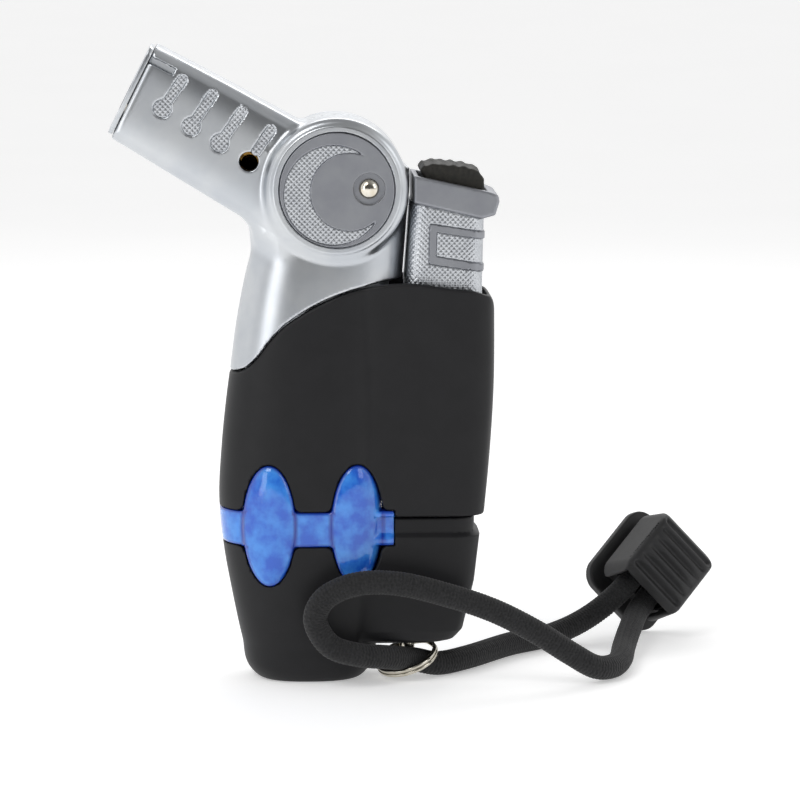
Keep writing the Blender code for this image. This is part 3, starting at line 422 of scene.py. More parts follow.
@dataclass(frozen=True)
class Column:
    """A body section that changes with height: rows of height, front, rear, half width."""

    rows: tuple[tuple[float, float, float, float], ...]
    power: float
    smooth: bool = True

    def table(self) -> Array:
        """Return the rows, eased where the column is smooth."""
        return eased(self.rows) if self.smooth else np.array(self.rows, float)

    def distance(self, p: Array, inset: float = 0.0) -> Array:
        """Distance to the column's side, drawn in by `inset`, with no ends.

        Args:
            p: Points in millimetres.
            inset: How far the side is drawn in.

        Returns:
            One distance for each point, negative inside.
        """
        table = self.table()
        front, rear, half = (np.interp(p[:, 2], table[:, 0], table[:, i]) for i in (1, 2, 3))
        reach_x, reach_y = (rear - front) / 2 - inset, half - inset
        u = np.abs(p[:, 0] - (front + rear) / 2) / reach_x
        v = np.abs(p[:, 1]) / reach_y
        total = np.maximum((u**self.power + v**self.power) ** (1 / self.power), 1e-6)
        steep = np.hypot(
            (u / total) ** (self.power - 1) / reach_x, (v / total) ** (self.power - 1) / reach_y
        )
        return (total - 1.0) / np.maximum(steep, 1e-3)


# ---- meshes -----------------------------------------------------------------------------
CORNERS = np.array([(i, j, k) for i in (0, 1) for j in (0, 1) for k in (0, 1)])
CELL_EDGES = [
    (a, b) for a in range(8) for b in range(a + 1, 8)
    if np.abs(CORNERS[a] - CORNERS[b]).sum() == 1
]


def sampled(field: Field, low: Array, step: float, blocks: tuple[int, int, int]) -> Array:
    """Read a field on a grid, closely only in blocks near its surface.

    Args:
        field: Distance field in millimetres.
        low: Lowest corner of the grid.
        step: Grid spacing.
        blocks: Number of blocks of four steps along each axis.

    Returns:
        Values at the grid points.
    """
    middles = np.stack(np.meshgrid(
        *[low[i] + step * 4 * (np.arange(blocks[i]) + 0.5) for i in range(3)], indexing="ij"
    ), -1).reshape(-1, 3)
    coarse = field(middles).reshape(blocks)
    near = np.abs(coarse) < step * 4 * 0.866 * 1.7 + step
    shape = tuple(4 * n + 1 for n in blocks)
    cells = near.repeat(4, 0).repeat(4, 1).repeat(4, 2)
    wanted = np.zeros(shape, bool)
    for i, j, k in CORNERS:
        wanted[i:i + cells.shape[0], j:j + cells.shape[1], k:k + cells.shape[2]] |= cells
    values = np.full(shape, 1e3)
    fill = np.sign(coarse).repeat(4, 0).repeat(4, 1).repeat(4, 2) * 1e3
    values[:-1, :-1, :-1] = fill
    spots = np.argwhere(wanted)
    values[tuple(spots.T)] = field(low + spots * step)
    return values


def gradient(field: Field, p: Array, reach: float) -> Array:
    """Slope of a field at each point.

    Args:
        field: Distance field in millimetres.
        p: Points in millimetres.
        reach: Half the distance that the slope is read over.

    Returns:
        The slope, one row for each point.
    """
    slope = np.empty_like(p)
    for axis in range(3):
        shift = np.zeros(3)
        shift[axis] = reach
        slope[:, axis] = (field(p + shift) - field(p - shift)) / (2 * reach)
    return slope


def skin(field: Field, low: Point, high: Point, step: float) -> tuple[Array, Array, Array]:
    """Wrap the zero surface of a field in quads.

    Args:
        field: Distance field in millimetres.
        low: Lowest corner of the space that holds the solid.
        high: Highest corner.
        step: Grid spacing, and so the size of the quads.

    Returns:
        Points in millimetres, quads, and a surface normal for each point.
    """
    base = np.array(low, float) - 1.5 * step
    blocks = tuple(
        int(math.ceil((high[i] - low[i] + 3 * step) / (4 * step))) for i in range(3)
    )
    values = sampled(field, base, step, blocks)
    inside = values < 0
    size = tuple(n - 1 for n in values.shape)

    def corner(grid: Array, c: Array) -> Array:
        """One corner's value for every cell."""
        return grid[c[0]:c[0] + size[0], c[1]:c[1] + size[1], c[2]:c[2] + size[2]]

    count = sum(corner(inside, c).astype(np.int8) for c in CORNERS)
    mixed = (count > 0) & (count < 8)
    cells = np.argwhere(mixed)
    at = np.stack([corner(values, c)[mixed] for c in CORNERS], 1)
    total, hits = np.zeros((len(cells), 3)), np.zeros(len(cells))
    for a, b in CELL_EDGES:
        cross = (at[:, a] < 0) != (at[:, b] < 0)
        t = np.where(cross, at[:, a] / np.where(cross, at[:, a] - at[:, b], 1.0), 0.0)
        spot = CORNERS[a] + t[:, None] * (CORNERS[b] - CORNERS[a])
        total += np.where(cross[:, None], spot, 0.0)
        hits += cross
    points = base + (cells + total / hits[:, None]) * step
    index = np.full(size, -1, np.int64)
    index[tuple(cells.T)] = np.arange(len(cells))
    quads = []
    for axis in range(3):
        other, third = (axis + 1) % 3, (axis + 2) % 3
        first = [slice(1, size[i]) for i in range(3)]
        first[axis] = slice(0, size[axis])
        second = list(first)
        second[axis] = slice(1, size[axis] + 1)
        here, there = inside[tuple(first)], inside[tuple(second)]
        spots = np.argwhere(here != there)
        leaving = here[tuple(spots.T)]
        for i in range(3):
            if i != axis:
                spots[:, i] += 1
        ring = []
        for back, side in ((1, 1), (0, 1), (0, 0), (1, 0)):
            cell = spots.copy()
            cell[:, other] -= back
            cell[:, third] -= side
            ring.append(index[tuple(cell.T)])
        faces = np.stack(ring, 1)
        faces[~leaving] = faces[~leaving][:, ::-1]
        quads.append(faces)
    faces = np.concatenate(quads)
    faces = faces[(faces >= 0).all(1)]
    for _ in range(3):
        slope = gradient(field, points, 0.02)
        push = field(points) / np.maximum((slope**2).sum(1), 0.25)
        points = points - np.clip(push, -step, step)[:, None] * slope
    normals = gradient(field, points, 0.03)
    normals /= np.maximum(np.linalg.norm(normals, axis=1), 1e-9)[:, None]
    return points, faces, normals


def new_piece(
    name: str, points: Array, faces: Array | list[Sequence[int]], finish: Finish, body: Body,
    normals: Array | None = None,
) -> bpy.types.Object:
    """Make one smooth-shaded piece from millimetre points and let it ride on a body.

    Args:
        name: Name of the piece.
        points: Points in millimetres, in the standing frame.
        faces: Corner numbers of each face.
        finish: Finish of the whole piece.
        body: CAD body that carries it.
        normals: Surface normal at each point, if known.

    Returns:
        The new object.
    """
    mesh = bpy.data.meshes.new(name)
    mesh.from_pydata(
        (np.asarray(points) * MM).tolist(), [],
        faces.tolist() if isinstance(faces, np.ndarray) else faces,
    )
    mesh.shade_smooth()
    if normals is not None:
        mesh.normals_split_custom_set_from_vertices(normals.tolist())
    mesh.materials.append(finish.material())
    obj = bpy.data.objects.new(name, mesh)
    bpy.context.scene.collection.objects.link(obj)
    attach(obj, body.value)
    LOG.info("%s: %d faces on %s", name, len(mesh.polygons), body.value)
    return obj


def solid_piece(
    name: str, field: Field, low: Point, high: Point, step: float, finish: Finish, body: Body
) -> bpy.types.Object:
    """Make a piece from a distance field between two corners."""
    points, faces, normals = skin(field, low, high, step)
    return new_piece(name, points, faces, finish, body, normals)


def lofted(rings: list[Array], closed: bool = True, caps: bool = True) -> tuple[Array, list[list[int]]]:
    """Skin rings of points in order.

    Args:
        rings: Rings with the same number of points.
        closed: Whether each ring closes on itself.
        caps: Whether the first and last rings are filled.

    Returns:
        Points and faces.
    """
    count = len(rings[0])
    faces: list[list[int]] = []
    for row in range(len(rings) - 1):
        for i in range(count if closed else count - 1):
            j = (i + 1) % count
            a, b = row * count, (row + 1) * count
            faces.append([a + i, a + j, b + j, b + i])
    if caps:
        faces.append(list(range(count))[::-1])
        faces.append([(len(rings) - 1) * count + i for i in range(count)])
    return np.concatenate(rings), faces


def smooth_route(points: Sequence[Point], per_span: int) -> Array:
    """Points along a curve that passes through each given point.

    Args:
        points: Points that the curve passes through.
        per_span: Points to each span between two given points.

    Returns:
        Points along the curve.
    """
    given = [np.array(p, float) for p in points]
    ends = [2 * given[0] - given[1], *given, 2 * given[-1] - given[-2]]
    route = []
    for i in range(1, len(ends) - 2):
        a, b, c, d = ends[i - 1:i + 3]
        for step in range(per_span):
            t = step / per_span
            route.append(0.5 * (
                2 * b + (c - a) * t + (2 * a - 5 * b + 4 * c - d) * t * t
                + (3 * b - a - 3 * c + d) * t**3
            ))
    route.append(given[-1])
    return np.array(route)


def even_route(route: Array, gap: float) -> Array:
    """The same route with points about `gap` apart.

    Args:
        route: Points along a centreline.
        gap: Distance wanted between two points.

    Returns:
        The evenly spaced points.
    """
    walked = np.concatenate([[0.0], np.cumsum(np.linalg.norm(np.diff(route, axis=0), axis=1))])
    places = np.linspace(0.0, walked[-1], int(walked[-1] / gap) + 1)
    return np.stack([np.interp(places, walked, route[:, i]) for i in range(3)], 1)


def carried_frames(route: Array) -> tuple[Array, Array]:
    """Two directions across a route at each point, carried along without twist.

    Args:
        route: Points along a centreline.

    Returns:
        The side and the up direction, one row each for every point.
    """
    ways = np.gradient(route, axis=0)
    ways /= np.linalg.norm(ways, axis=1)[:, None]
    first = np.cross(ways[0], (0.0, 0.0, 1.0))
    sides, ups = [], []
    side = first / np.linalg.norm(first)
    for way in ways:
        side = side - way * side.dot(way)
        side = side / np.linalg.norm(side)
        sides.append(side)
        ups.append(np.cross(way, side))
    return np.array(sides), np.array(ups)


# ---- body -------------------------------------------------------------------------------
REAR_FRONT_EDGE = 6.0
FILL_X, ADJUST_X = 3.6, -4.2   # fill valve and flame adjuster in the foot
POST_X, POST_Y = 16.0, 1.28    # lanyard post
BAND_SPLIT = 27.7              # above this the rear column takes its upper section
FRONT = Column((
    (0.0, -8.5, 8.5, 7.6), (1.5, -9.9, 9.8, 8.7), (6.4, -11.2, 11.2, 9.4),
    (14.0, -12.8, 12.6, 9.9), (22.0, -14.2, 13.7, 10.2), (30.0, -14.9, 14.4, 10.3),
    (38.0, -14.5, 14.6, 10.2), (46.0, -13.7, 14.8, 10.0), (52.0, -12.9, 14.9, 9.8),
    (58.0, -12.1, 15.0, 9.5), (66.0, -10.6, 15.3, 9.1), (74.0, -8.6, 15.9, 8.6),
    (80.0, -7.6, 16.3, 8.3), (84.4, -6.4, 16.5, 8.2),
), 2.5)
REAR_LOWER = Column((
    (6.2, REAR_FRONT_EDGE, 21.5, 7.2), (6.9, REAR_FRONT_EDGE, 23.8, 8.2),
    (8.5, REAR_FRONT_EDGE, 25.2, 8.7), (16.5, REAR_FRONT_EDGE, 27.1, 8.9),
    (24.2, REAR_FRONT_EDGE, 28.0, 8.9), (24.9, REAR_FRONT_EDGE, 27.1, 8.1),
    (27.7, REAR_FRONT_EDGE, 27.1, 8.1),
), 5.0, smooth=False)
REAR_UPPER = Column((
    (27.7, REAR_FRONT_EDGE, 28.7, 9.0), (35.0, REAR_FRONT_EDGE, 29.4, 9.0),
    (47.0, REAR_FRONT_EDGE, 30.2, 9.0), (67.0, REAR_FRONT_EDGE, 30.3, 9.0),
), 5.0)
LIP = eased((
    (-17.0, 50.6), (-12.6, 51.0), (-10.4, 52.0), (-8.5, 53.9), (-6.7, 56.4), (-4.6, 58.7),
    (-1.6, 60.9), (2.0, 62.9), (6.0, 64.5), (10.6, 65.6), (15.7, 66.1), (22.0, 65.3),
    (28.4, 64.1), (29.8, 63.3), (30.8, 61.2),
))


def above_lip(p: Array) -> Array:
    """Distance to everything above the black shell's upper edge.

    Args:
        p: Points in millimetres.

    Returns:
        One distance for each point, negative inside.
    """
    height = np.interp(p[:, 0], LIP[:, 0], LIP[:, 1])
    slope = np.interp(p[:, 0], LIP[:, 0], np.gradient(LIP[:, 1], LIP[:, 0]))
    return (height - p[:, 2]) / np.sqrt(1.0 + slope**2)


@dataclass
class Windows:
    """Two bulging ovals on each side of the tank, joined by a band round the front."""

    middles: tuple[float, float] = (-6.8, 7.6)
    height: float = 26.4
    half_width: float = 4.3
    half_height: float = 10.0
    gap: float = 0.09
    band: tuple[float, float] = (23.0, 28.7)
    band_end: float = 13.7

    def oval(self, p: Array, middle: float, grow: float = 0.0) -> Array:
        """Distance to one oval seen from the side.

        Args:
            p: Points in millimetres.
            middle: Place of the oval's middle along x.
            grow: How far the oval is let out.

        Returns:
            One distance for each point, negative inside.
        """
        a, b = self.half_width + grow, self.half_height + grow
        u, v = (p[:, 0] - middle) / a, (p[:, 2] - self.height) / b
        total = np.maximum(np.hypot(u, v), 1e-6)
        return (total - 1.0) / np.hypot(u / total / a, v / total / b)

    def opening(self, p: Array) -> Array:
        """Distance to the openings in the black shells.

        Args:
            p: Points in millimetres.

        Returns:
            One distance for each point, negative inside.
        """
        ovals = np.minimum(*(self.oval(p, x, self.gap) for x in self.middles))
        low, high = self.band[0] - self.gap, self.band[1] + self.gap
        band = np.maximum(np.abs(p[:, 2] - (low + high) / 2) - (high - low) / 2,
                          p[:, 0] - self.band_end - self.gap)
        return soft_min(ovals, band, 1.2)


@dataclass
class BodyShells:
    """Upper and lower soft-touch shells that hold the tank."""

    windows: Windows
    wall: float = 1.5
    rear_wall: float = 1.2
    split: float = 27.55
    seam: float = 0.15
    foot_floor: float = 2.0
    rear_floor: float = 8.2
    foot_edge: float = 0.9
    step: float = 0.36

    def upper(self, p: Array) -> Array:
        """Distance to the upper shell.

        Args:
            p: Points in millimetres.

        Returns:
            One distance for each point, negative inside.
        """
        z = p[:, 2]
        outer = soft_min(FRONT.distance(p), REAR_UPPER.distance(p), 0.5)
        room = np.minimum(FRONT.distance(p, self.wall), REAR_UPPER.distance(p, self.rear_wall))
        shell = np.maximum(outer, -room)
        shell = soft_max(shell, -above_lip(p), 0.45)
        shell = soft_max(shell, self.split + self.seam - z, 0.3)
        return soft_max(shell, -self.windows.opening(p), 0.2)

    def lower(self, p: Array) -> Array:
        """Distance to the lower shell.

        Args:
            p: Points in millimetres.

        Returns:
            One distance for each point, negative inside.
        """
        z = p[:, 2]
        front = soft_max(FRONT.distance(p), -z, self.foot_edge)
        rear = soft_max(REAR_LOWER.distance(p), 6.2 - z, 1.4)
        outer = soft_min(front, rear, 0.5)
        room = np.minimum(
            np.maximum(FRONT.distance(p, self.wall), self.foot_floor - z),
            np.maximum(REAR_LOWER.distance(p, self.wall), self.rear_floor - z),
        )
        shell = np.maximum(outer, -room)
        shell = soft_max(shell, z - self.split + self.seam, 0.3)
        shell = soft_max(shell, -self.windows.opening(p), 0.2)
        for x, radius in ((FILL_X, 3.0), (ADJUST_X, 2.5)):
            hole = np.maximum(np.hypot(p[:, 0] - x, p[:, 1]) - radius, z - 3.0)
            shell = soft_max(shell, -hole, 0.2)
        post = np.maximum(np.hypot(p[:, 0] - POST_X, p[:, 1] - POST_Y) - 1.0, z - 10.0)
        return np.maximum(shell, -post)

    def build(self) -> None:
        """Make both shells."""
        upper = solid_piece("upper_body", self.upper, (-16, -11, 27), (31.5, 11, 67.5),
                            self.step, SOFT_TOUCH, Body.TORCH)
        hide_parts("upper_shell")
        lower = solid_piece("lower_body", self.lower, (-16, -11, 0), (29, 11, 28),
                            self.step, SOFT_TOUCH, Body.TORCH)
        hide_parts("lower_shell")


@dataclass
class FuelTank:
    """Clear blue tank: its ovals stand proud of the shells, its band lies flush."""

    windows: Windows
    bottom: float = 2.6
    top: float = 38.0
    wall: float = 1.3
    inset: float = 2.0
    proud: float = 1.05
    step: float = 0.36

    def domes(self, p: Array) -> Array:
        """Distance to the bulging ovals.

        Args:
            p: Points in millimetres.

        Returns:
            One distance for each point, negative inside.
        """
        body = FRONT.distance(p)
        best = np.full(len(p), 1e3)
        for middle in self.windows.middles:
            flat = self.windows.oval(p, middle)
            share = np.clip(-flat / self.windows.half_width, 0.0, 1.0)
            crown = self.proud * np.sqrt(1.0 - (1.0 - share) ** 2) * 1.02 - 0.02
            dome = soft_max(flat, body - crown, 0.25)
            best = np.minimum(best, dome)
        return np.maximum(best, -body - 4.5)

    def tank(self, p: Array) -> Array:
        """Distance to the tank.

        Args:
            p: Points in millimetres.

        Returns:
            One distance for each point, negative inside.
        """
        z = p[:, 2]
        core = np.maximum(FRONT.distance(p, self.inset),
                          np.maximum(self.bottom - z, z - self.top))
        low, high = self.windows.band
        rear = np.where(z < BAND_SPLIT, REAR_LOWER.distance(p), REAR_UPPER.distance(p))
        band = soft_max(np.minimum(FRONT.distance(p), rear) - 0.05,
                        soft_max(np.abs(z - (low + high) / 2) - (high - low) / 2,
                                 p[:, 0] - self.windows.band_end, 0.4), 0.4)
        solid = soft_min(np.minimum(core, band), self.domes(p), 0.5)
        room = np.maximum(FRONT.distance(p, self.inset + self.wall),
                          self.bottom + self.wall + 0.6 - z)
        solid = np.maximum(solid, -room)
        for x, radius in ((FILL_X, 2.3), (ADJUST_X, 1.6)):
            hole = np.maximum(np.hypot(p[:, 0] - x, p[:, 1]) - radius, z - 6.0)
            solid = np.maximum(solid, -hole)
        return solid

    def build(self) -> None:
        """Make the tank."""
        tank = solid_piece("blue_tank", self.tank, (-16, -12, 2), (15, 12, 38.5),
                           self.step, BLUE_TANK, Body.TORCH)
        # Painted shade: the rim attribute darkens the tank's colour within about half a millimetre of the
        # window and band edges.
        points = np.array([v.co for v in tank.data.vertices]) / MM
        edge = np.minimum(*(np.abs(self.windows.oval(points, x)) for x in self.windows.middles))
        low, high = self.windows.band
        band = np.minimum(np.abs(points[:, 2] - low), np.abs(points[:, 2] - high))
        band = np.where(self.windows.opening(points) > -0.7, band, 9.0)
        rim = tank.data.attributes.new("rim", "FLOAT", "POINT")
        rim.data.foreach_set("value", np.clip(1.2 - np.minimum(edge, band) / 0.45, 0.0, 1.0))
        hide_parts("fuel_tank")


# ---- head -------------------------------------------------------------------------------
def knurl(u: Array, v: Array, pitch: float) -> Array:
    """Height from 0 to 1 of a coined diamond knurl, points `pitch` apart.

    Args:
        u: Distances along the sheet.
        v: Distances across the sheet.
        pitch: Distance from one point of the knurl to the next.

    Returns:
        One height for each place.
    """
    a = (u + v) / pitch
    b = (u - v) / pitch
    ridge = np.minimum(1.0 - np.abs(2 * (a - np.floor(a)) - 1.0),
                       1.0 - np.abs(2 * (b - np.floor(b)) - 1.0))
    return np.sqrt(ridge)


def knurled_floor(
    name: str, inside: Callable[[Array], Array], low: tuple[float, float],
    high: tuple[float, float], level: float, side: Side, body: Body,
) -> bpy.types.Object:
    """Cover the floor of a sunk shape with bright knurling.

    Args:
        name: Name of the piece.
        inside: Distance to the shape seen from the side, for (x, 0, z) points.
        low: Lowest x and z.
        high: Highest x and z.
        level: Distance of the floor from the middle plane.
        side: Which face of the torch it lies on.
        body: CAD body that carries it.

    Returns:
        The knurled sheet.
    """
    step, pitch, height = 0.12, 0.86, 0.13
    xs, zs = np.arange(low[0], high[0], step), np.arange(low[1], high[1], step)
    x, z = (grid.ravel() for grid in np.meshgrid(xs, zs, indexing="ij"))
    flat = inside(np.stack((x, np.zeros_like(x), z), 1))
    rise = knurl(x, z, pitch) * height * np.clip(-flat / 0.12, 0.0, 1.0)
    points = np.stack((x, side.value * (level + rise - 0.02), z), 1)
    keep = (flat < 0.08).reshape(len(xs), len(zs))
    index = np.arange(len(x)).reshape(len(xs), len(zs))
    whole = keep[:-1, :-1] & keep[1:, :-1] & keep[1:, 1:] & keep[:-1, 1:]
    faces = np.stack((index[:-1, :-1][whole], index[1:, :-1][whole],
                      index[1:, 1:][whole], index[:-1, 1:][whole]), 1)
    if side is Side.FAR:
        faces = faces[:, ::-1]
    used = np.unique(faces)
    renumber = np.zeros(len(points), int)
    renumber[used] = np.arange(len(used))
    obj = new_piece(name, points[used], renumber[faces], BRIGHT_KNURL, body)
    thick = obj.modifiers.new("thickness", "SOLIDIFY")
    thick.thickness = 0.1 * MM
    thick.offset = -1.0
    return obj


@dataclass
class Head:
    """Die-cast head in two halves: angled arm, knuckle with its rim, and neck."""

    mouth: tuple[float, float] = (-29.1, 97.5)
    arm_angle: float = 30.8
    mouth_angle: float = 26.6
    arm_half: float = 7.5
    arm_round: float = 2.0
    arm_crown: float = 0.45
    end_gap: float = 0.9
    disc: tuple[float, float] = (4.4, 81.4)
    disc_radius: float = 9.3
    seat_gap: float = 0.06
    disc_face: float = 9.9
    disc_thick: float = 1.5
    rim_radius: float = 10.5
    rim_proud: float = 0.35
    knuckle_radius: float = 11.6
    knuckle_half: float = 9.2
    lip_gap: float = 0.35
    parting: float = 0.1
    sink: float = 0.4
    rivet: tuple[float, float] = (9.6, 81.6)
    moon: tuple[Point, Point] = ((3.85, 80.6, 8.1), (6.4, 81.1, 6.3))
    moon_end: float = 11.2
    moon_sink: float = 0.35
    step: float = 0.3
    outline: tuple[tuple[float, float], ...] = (
        (-32.8, 90.1), (-25.4, 104.9), (-12.7, 98.2), (0.5, 90.9), (5.0, 84.0),
        (4.0, 76.0), (-5.0, 72.0), (-8.3, 73.4), (-9.3, 75.2), (-11.2, 76.8),
    )
    keyholes: tuple[tuple[tuple[float, float], tuple[float, float]], ...] = (
        ((-23.7, 94.5), (-20.4, 99.2)), ((-19.1, 91.6), (-15.4, 97.0)),
        ((-14.5, 88.9), (-10.7, 94.2)),
    )
    bulb: float = 1.5
    stem: float = 0.75
    air_hole: tuple[float, float] = (-9.8, 85.9)
    air_radius: float = 1.55

    def back_of_mouth(self, p: Array, angle: float) -> tuple[Array, Array]:
        """Distance back from the mouth and up from the arm's middle line.

        Args:
            p: Points in millimetres.
            angle: Angle of the axis above level, in degrees.

        Returns:
            Both distances, one for each point.
        """
        a = math.radians(angle)
        dx, dz = p[:, 0] - self.mouth[0], p[:, 2] - self.mouth[1]
        return dx * math.cos(a) - dz * math.sin(a), dx * math.sin(a) + dz * math.cos(a)

    def from_disc(self, p: Array) -> Array:
        """Distance from the disc's centre line."""
        return np.hypot(p[:, 0] - self.disc[0], p[:, 2] - self.disc[1])

    def sunk(self, p: Array) -> Array:
        """Distance to the keyholes and the short slot, seen from the side.

        Args:
            p: Points in millimetres.

        Returns:
            One distance for each point, negative inside.
        """
        x, z = p[:, 0], p[:, 2]
        best = np.full(len(p), 1e3)
        for bulb, top in self.keyholes:
            round_end = np.hypot(x - bulb[0], z - bulb[1]) - self.bulb
            best = np.minimum(best, soft_min(round_end, self.strip(x, z, bulb, top), 0.35))
        return np.minimum(best, self.strip(x, z, (-8.6, 87.6), (-6.2, 91.0)))

    def strip(self, x: Array, z: Array, start: tuple[float, float],
              finish: tuple[float, float]) -> Array:
        """Distance to a straight strip with round ends.

        Args:
            x: First coordinates.
            z: Second coordinates.
            start: One end of the strip.
            finish: The other end.

        Returns:
            One distance for each point, negative inside.
        """
        ex, ez = finish[0] - start[0], finish[1] - start[1]
        t = np.clip(((x - start[0]) * ex + (z - start[1]) * ez) / (ex * ex + ez * ez), 0, 1)
        return np.hypot(x - start[0] - t * ex, z - start[1] - t * ez) - self.stem

    def casting(self, p: Array) -> Array:
        """Distance to the outside of the whole head, before it is hollowed.

        Args:
            p: Points in millimetres.

        Returns:
            One distance for each point, negative inside.
        """
        x, y, z = p.T
        neck = np.maximum(FRONT.distance(p), z - 84.4)
        facet = (np.abs(y) - 8.1) * 0.80 + (x - 11.6 - (z - 66.0) * 0.03) * 0.60
        neck = soft_max(neck, facet, 0.5)
        _, up = self.back_of_mouth(p, self.arm_angle)
        half = self.arm_half - self.arm_crown * np.clip(np.abs(up) / 7.4, 0.0, 1.1) ** 4
        arm = plate(outline_distance(x, z, self.outline), y, half, self.arm_round)
        solid = soft_min(neck, arm, 4.2)
        out = self.from_disc(p)
        knuckle = plate(out - self.knuckle_radius, y, self.knuckle_half, 1.3)
        solid = soft_min(solid, knuckle, 1.2)
        rim = plate(out - self.rim_radius, y, self.knuckle_half + self.rim_proud, 0.34)
        return soft_min(solid, rim, 0.4)

    def half(self, p: Array, side: Side) -> Array:
        """Distance to one half.

        Args:
            p: Points in millimetres.
            side: Which face of the torch it is.

        Returns:
            One distance for each point, negative inside.
        """
        x, z = p[:, 0], p[:, 2]
        out_side = p[:, 1] * side.value
        solid = self.casting(p)
        height = np.interp(x, LIP[:, 0], LIP[:, 1]) + self.lip_gap
        solid = soft_max(solid, (height - z) * 0.75, 0.3)
        tenon = np.maximum(FRONT.distance(p, 2.1), np.maximum(51.5 - z, z - 72.0))
        solid = np.minimum(solid, tenon)
        back, up = self.back_of_mouth(p, self.arm_angle)
        channel = np.maximum(np.maximum(np.abs(up) - 6.3, out_side - 5.4),
                             np.maximum(back - 35.5, -3.0 - back))
        room = np.maximum(FRONT.distance(p, 4.0), z - 80.5)
        gate = np.maximum(np.maximum(np.abs(x - 11.5) - 4.5, out_side - 2.5), z - 58.0)
        hollow = np.minimum(np.minimum(channel, room), gate)
        solid = np.maximum(solid, -hollow)
        seat = np.maximum(self.from_disc(p) - self.disc_radius - self.seat_gap,
                          self.disc_face - self.disc_thick - 0.2 - out_side)
        rivet = np.hypot(x - self.rivet[0], z - self.rivet[1]) - 1.0
        solid = soft_max(np.maximum(solid, -rivet), -seat, 0.2)
        recess = np.maximum(self.sunk(p), self.arm_half - self.sink - out_side)
        solid = soft_max(solid, -recess, 0.22)
        notch = outline_distance(x, z, ((-25.3, 102.9), (-21.5, 100.9), (-22.0, 99.9),
                                        (-25.8, 101.9)))
        solid = soft_max(solid, -np.maximum(notch, self.arm_half - 1.4 - out_side), 0.2)
        if side is Side.NEAR:
            air = np.hypot(x - self.air_hole[0], z - self.air_hole[1]) - self.air_radius
            solid = soft_max(solid, -air, 0.25)
        square_back, _ = self.back_of_mouth(p, self.mouth_angle)
        solid = soft_max(solid, self.end_gap - square_back, 0.2)
        return np.maximum(solid, self.parting - out_side)

    def crescent(self, p: Array) -> Array:
        """Distance to the crescent, seen from the side."""
        outer, inner = (np.hypot(p[:, 0] - x, p[:, 2] - z) - radius for x, z, radius in self.moon)
        return soft_max(soft_max(outer, -inner, 0.5), p[:, 0] - self.moon_end, 0.6)

    def cover(self, p: Array, side: Side) -> Array:
        """Distance to one side disc.

        Args:
            p: Points in millimetres.
            side: Which face of the torch it is.

        Returns:
            One distance for each point, negative inside.
        """
        out_side = p[:, 1] * side.value
        middle = self.disc_face - self.disc_thick / 2
        disc = plate(self.from_disc(p) - self.disc_radius, out_side - middle,
                     self.disc_thick / 2, 0.12)
        moon = np.maximum(self.crescent(p), self.disc_face - self.moon_sink - out_side)
        disc = soft_max(disc, -moon, 0.15)
        from_rivet = np.hypot(p[:, 0] - self.rivet[0], p[:, 2] - self.rivet[1])
        disc = soft_max(disc, -np.maximum(from_rivet - 2.6, self.disc_face - 0.75 - out_side), 0.15)
        return np.maximum(disc, 1.0 - from_rivet)

    def build(self) -> None:
        """Make both halves, both discs, their knurling and the rivet."""
        for side in Side:
            word = side.name.lower()
            low_y, high_y = sorted((0.0, side.value * 10.6))
            shell = solid_piece(
                f"head_{word}", lambda p, s=side: self.half(p, s), (-34, low_y, 50),
                (17.5, high_y, 105.5), self.step, CAST_ZINC, Body.TORCH,
            )
            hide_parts(f"head_shell_{word}")
            low_y, high_y = sorted((side.value * 8.0, side.value * 10.2))
            cover = solid_piece(
                f"disc_{word}", lambda p, s=side: self.cover(p, s), (-5, low_y, 72),
                (14, high_y, 91), 0.22, BLASTED_ZINC_PAINTED_SHADE, Body.TORCH,
            )
            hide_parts(f"side_disc_{word}")
            knurled_floor(f"crescent_knurl_{word}", self.crescent, (-4.5, 72.0), (12.0, 89.5),
                          self.disc_face - self.moon_sink, side, Body.TORCH)
            knurled_floor(f"keyhole_knurl_{word}", self.sunk, (-26.0, 86.0), (-4.0, 101.0),
                          self.arm_half - self.sink, side, Body.TORCH)
        self.rivet_piece()

    def rivet_piece(self) -> None:
        """Make the domed rivet that clamps the head together."""
        face = self.disc_face
        profile = [(0.0, face + 0.35), (0.4, face + 0.33), (0.8, face + 0.24),
                   (1.15, face + 0.06), (1.45, face - 0.2), (1.6, face - 0.42),
                   (1.65, face - 0.62), (0.85, face - 0.66), (0.85, 0.0)]
        whole = [*profile, *[(r, -y) for r, y in reversed(profile[:-1])]]
        rings = []
        for radius, y in whole:
            angle = np.linspace(0, 2 * math.pi, 40, endpoint=False)
            rings.append(np.stack((
                self.rivet[0] + max(radius, 0.02) * np.cos(angle), np.full(40, -y),
                self.rivet[1] + max(radius, 0.02) * np.sin(angle),
            ), 1))
        points, faces = lofted(rings)
        rivet = new_piece("rivet", points, faces, RIVET_NICKEL, Body.TORCH)
        rivet.data.set_sharp_from_angle(angle=math.radians(50.0))
        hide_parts("head_rivet")


# ---- button -----------------------------------------------------------------------------
SKIRT = Column(((50.0, 15.5, 28.0, 7.0), (66.0, 15.75, 28.15, 7.0), (79.6, 16.75, 28.5, 7.0)),
               6.0, smooth=False)


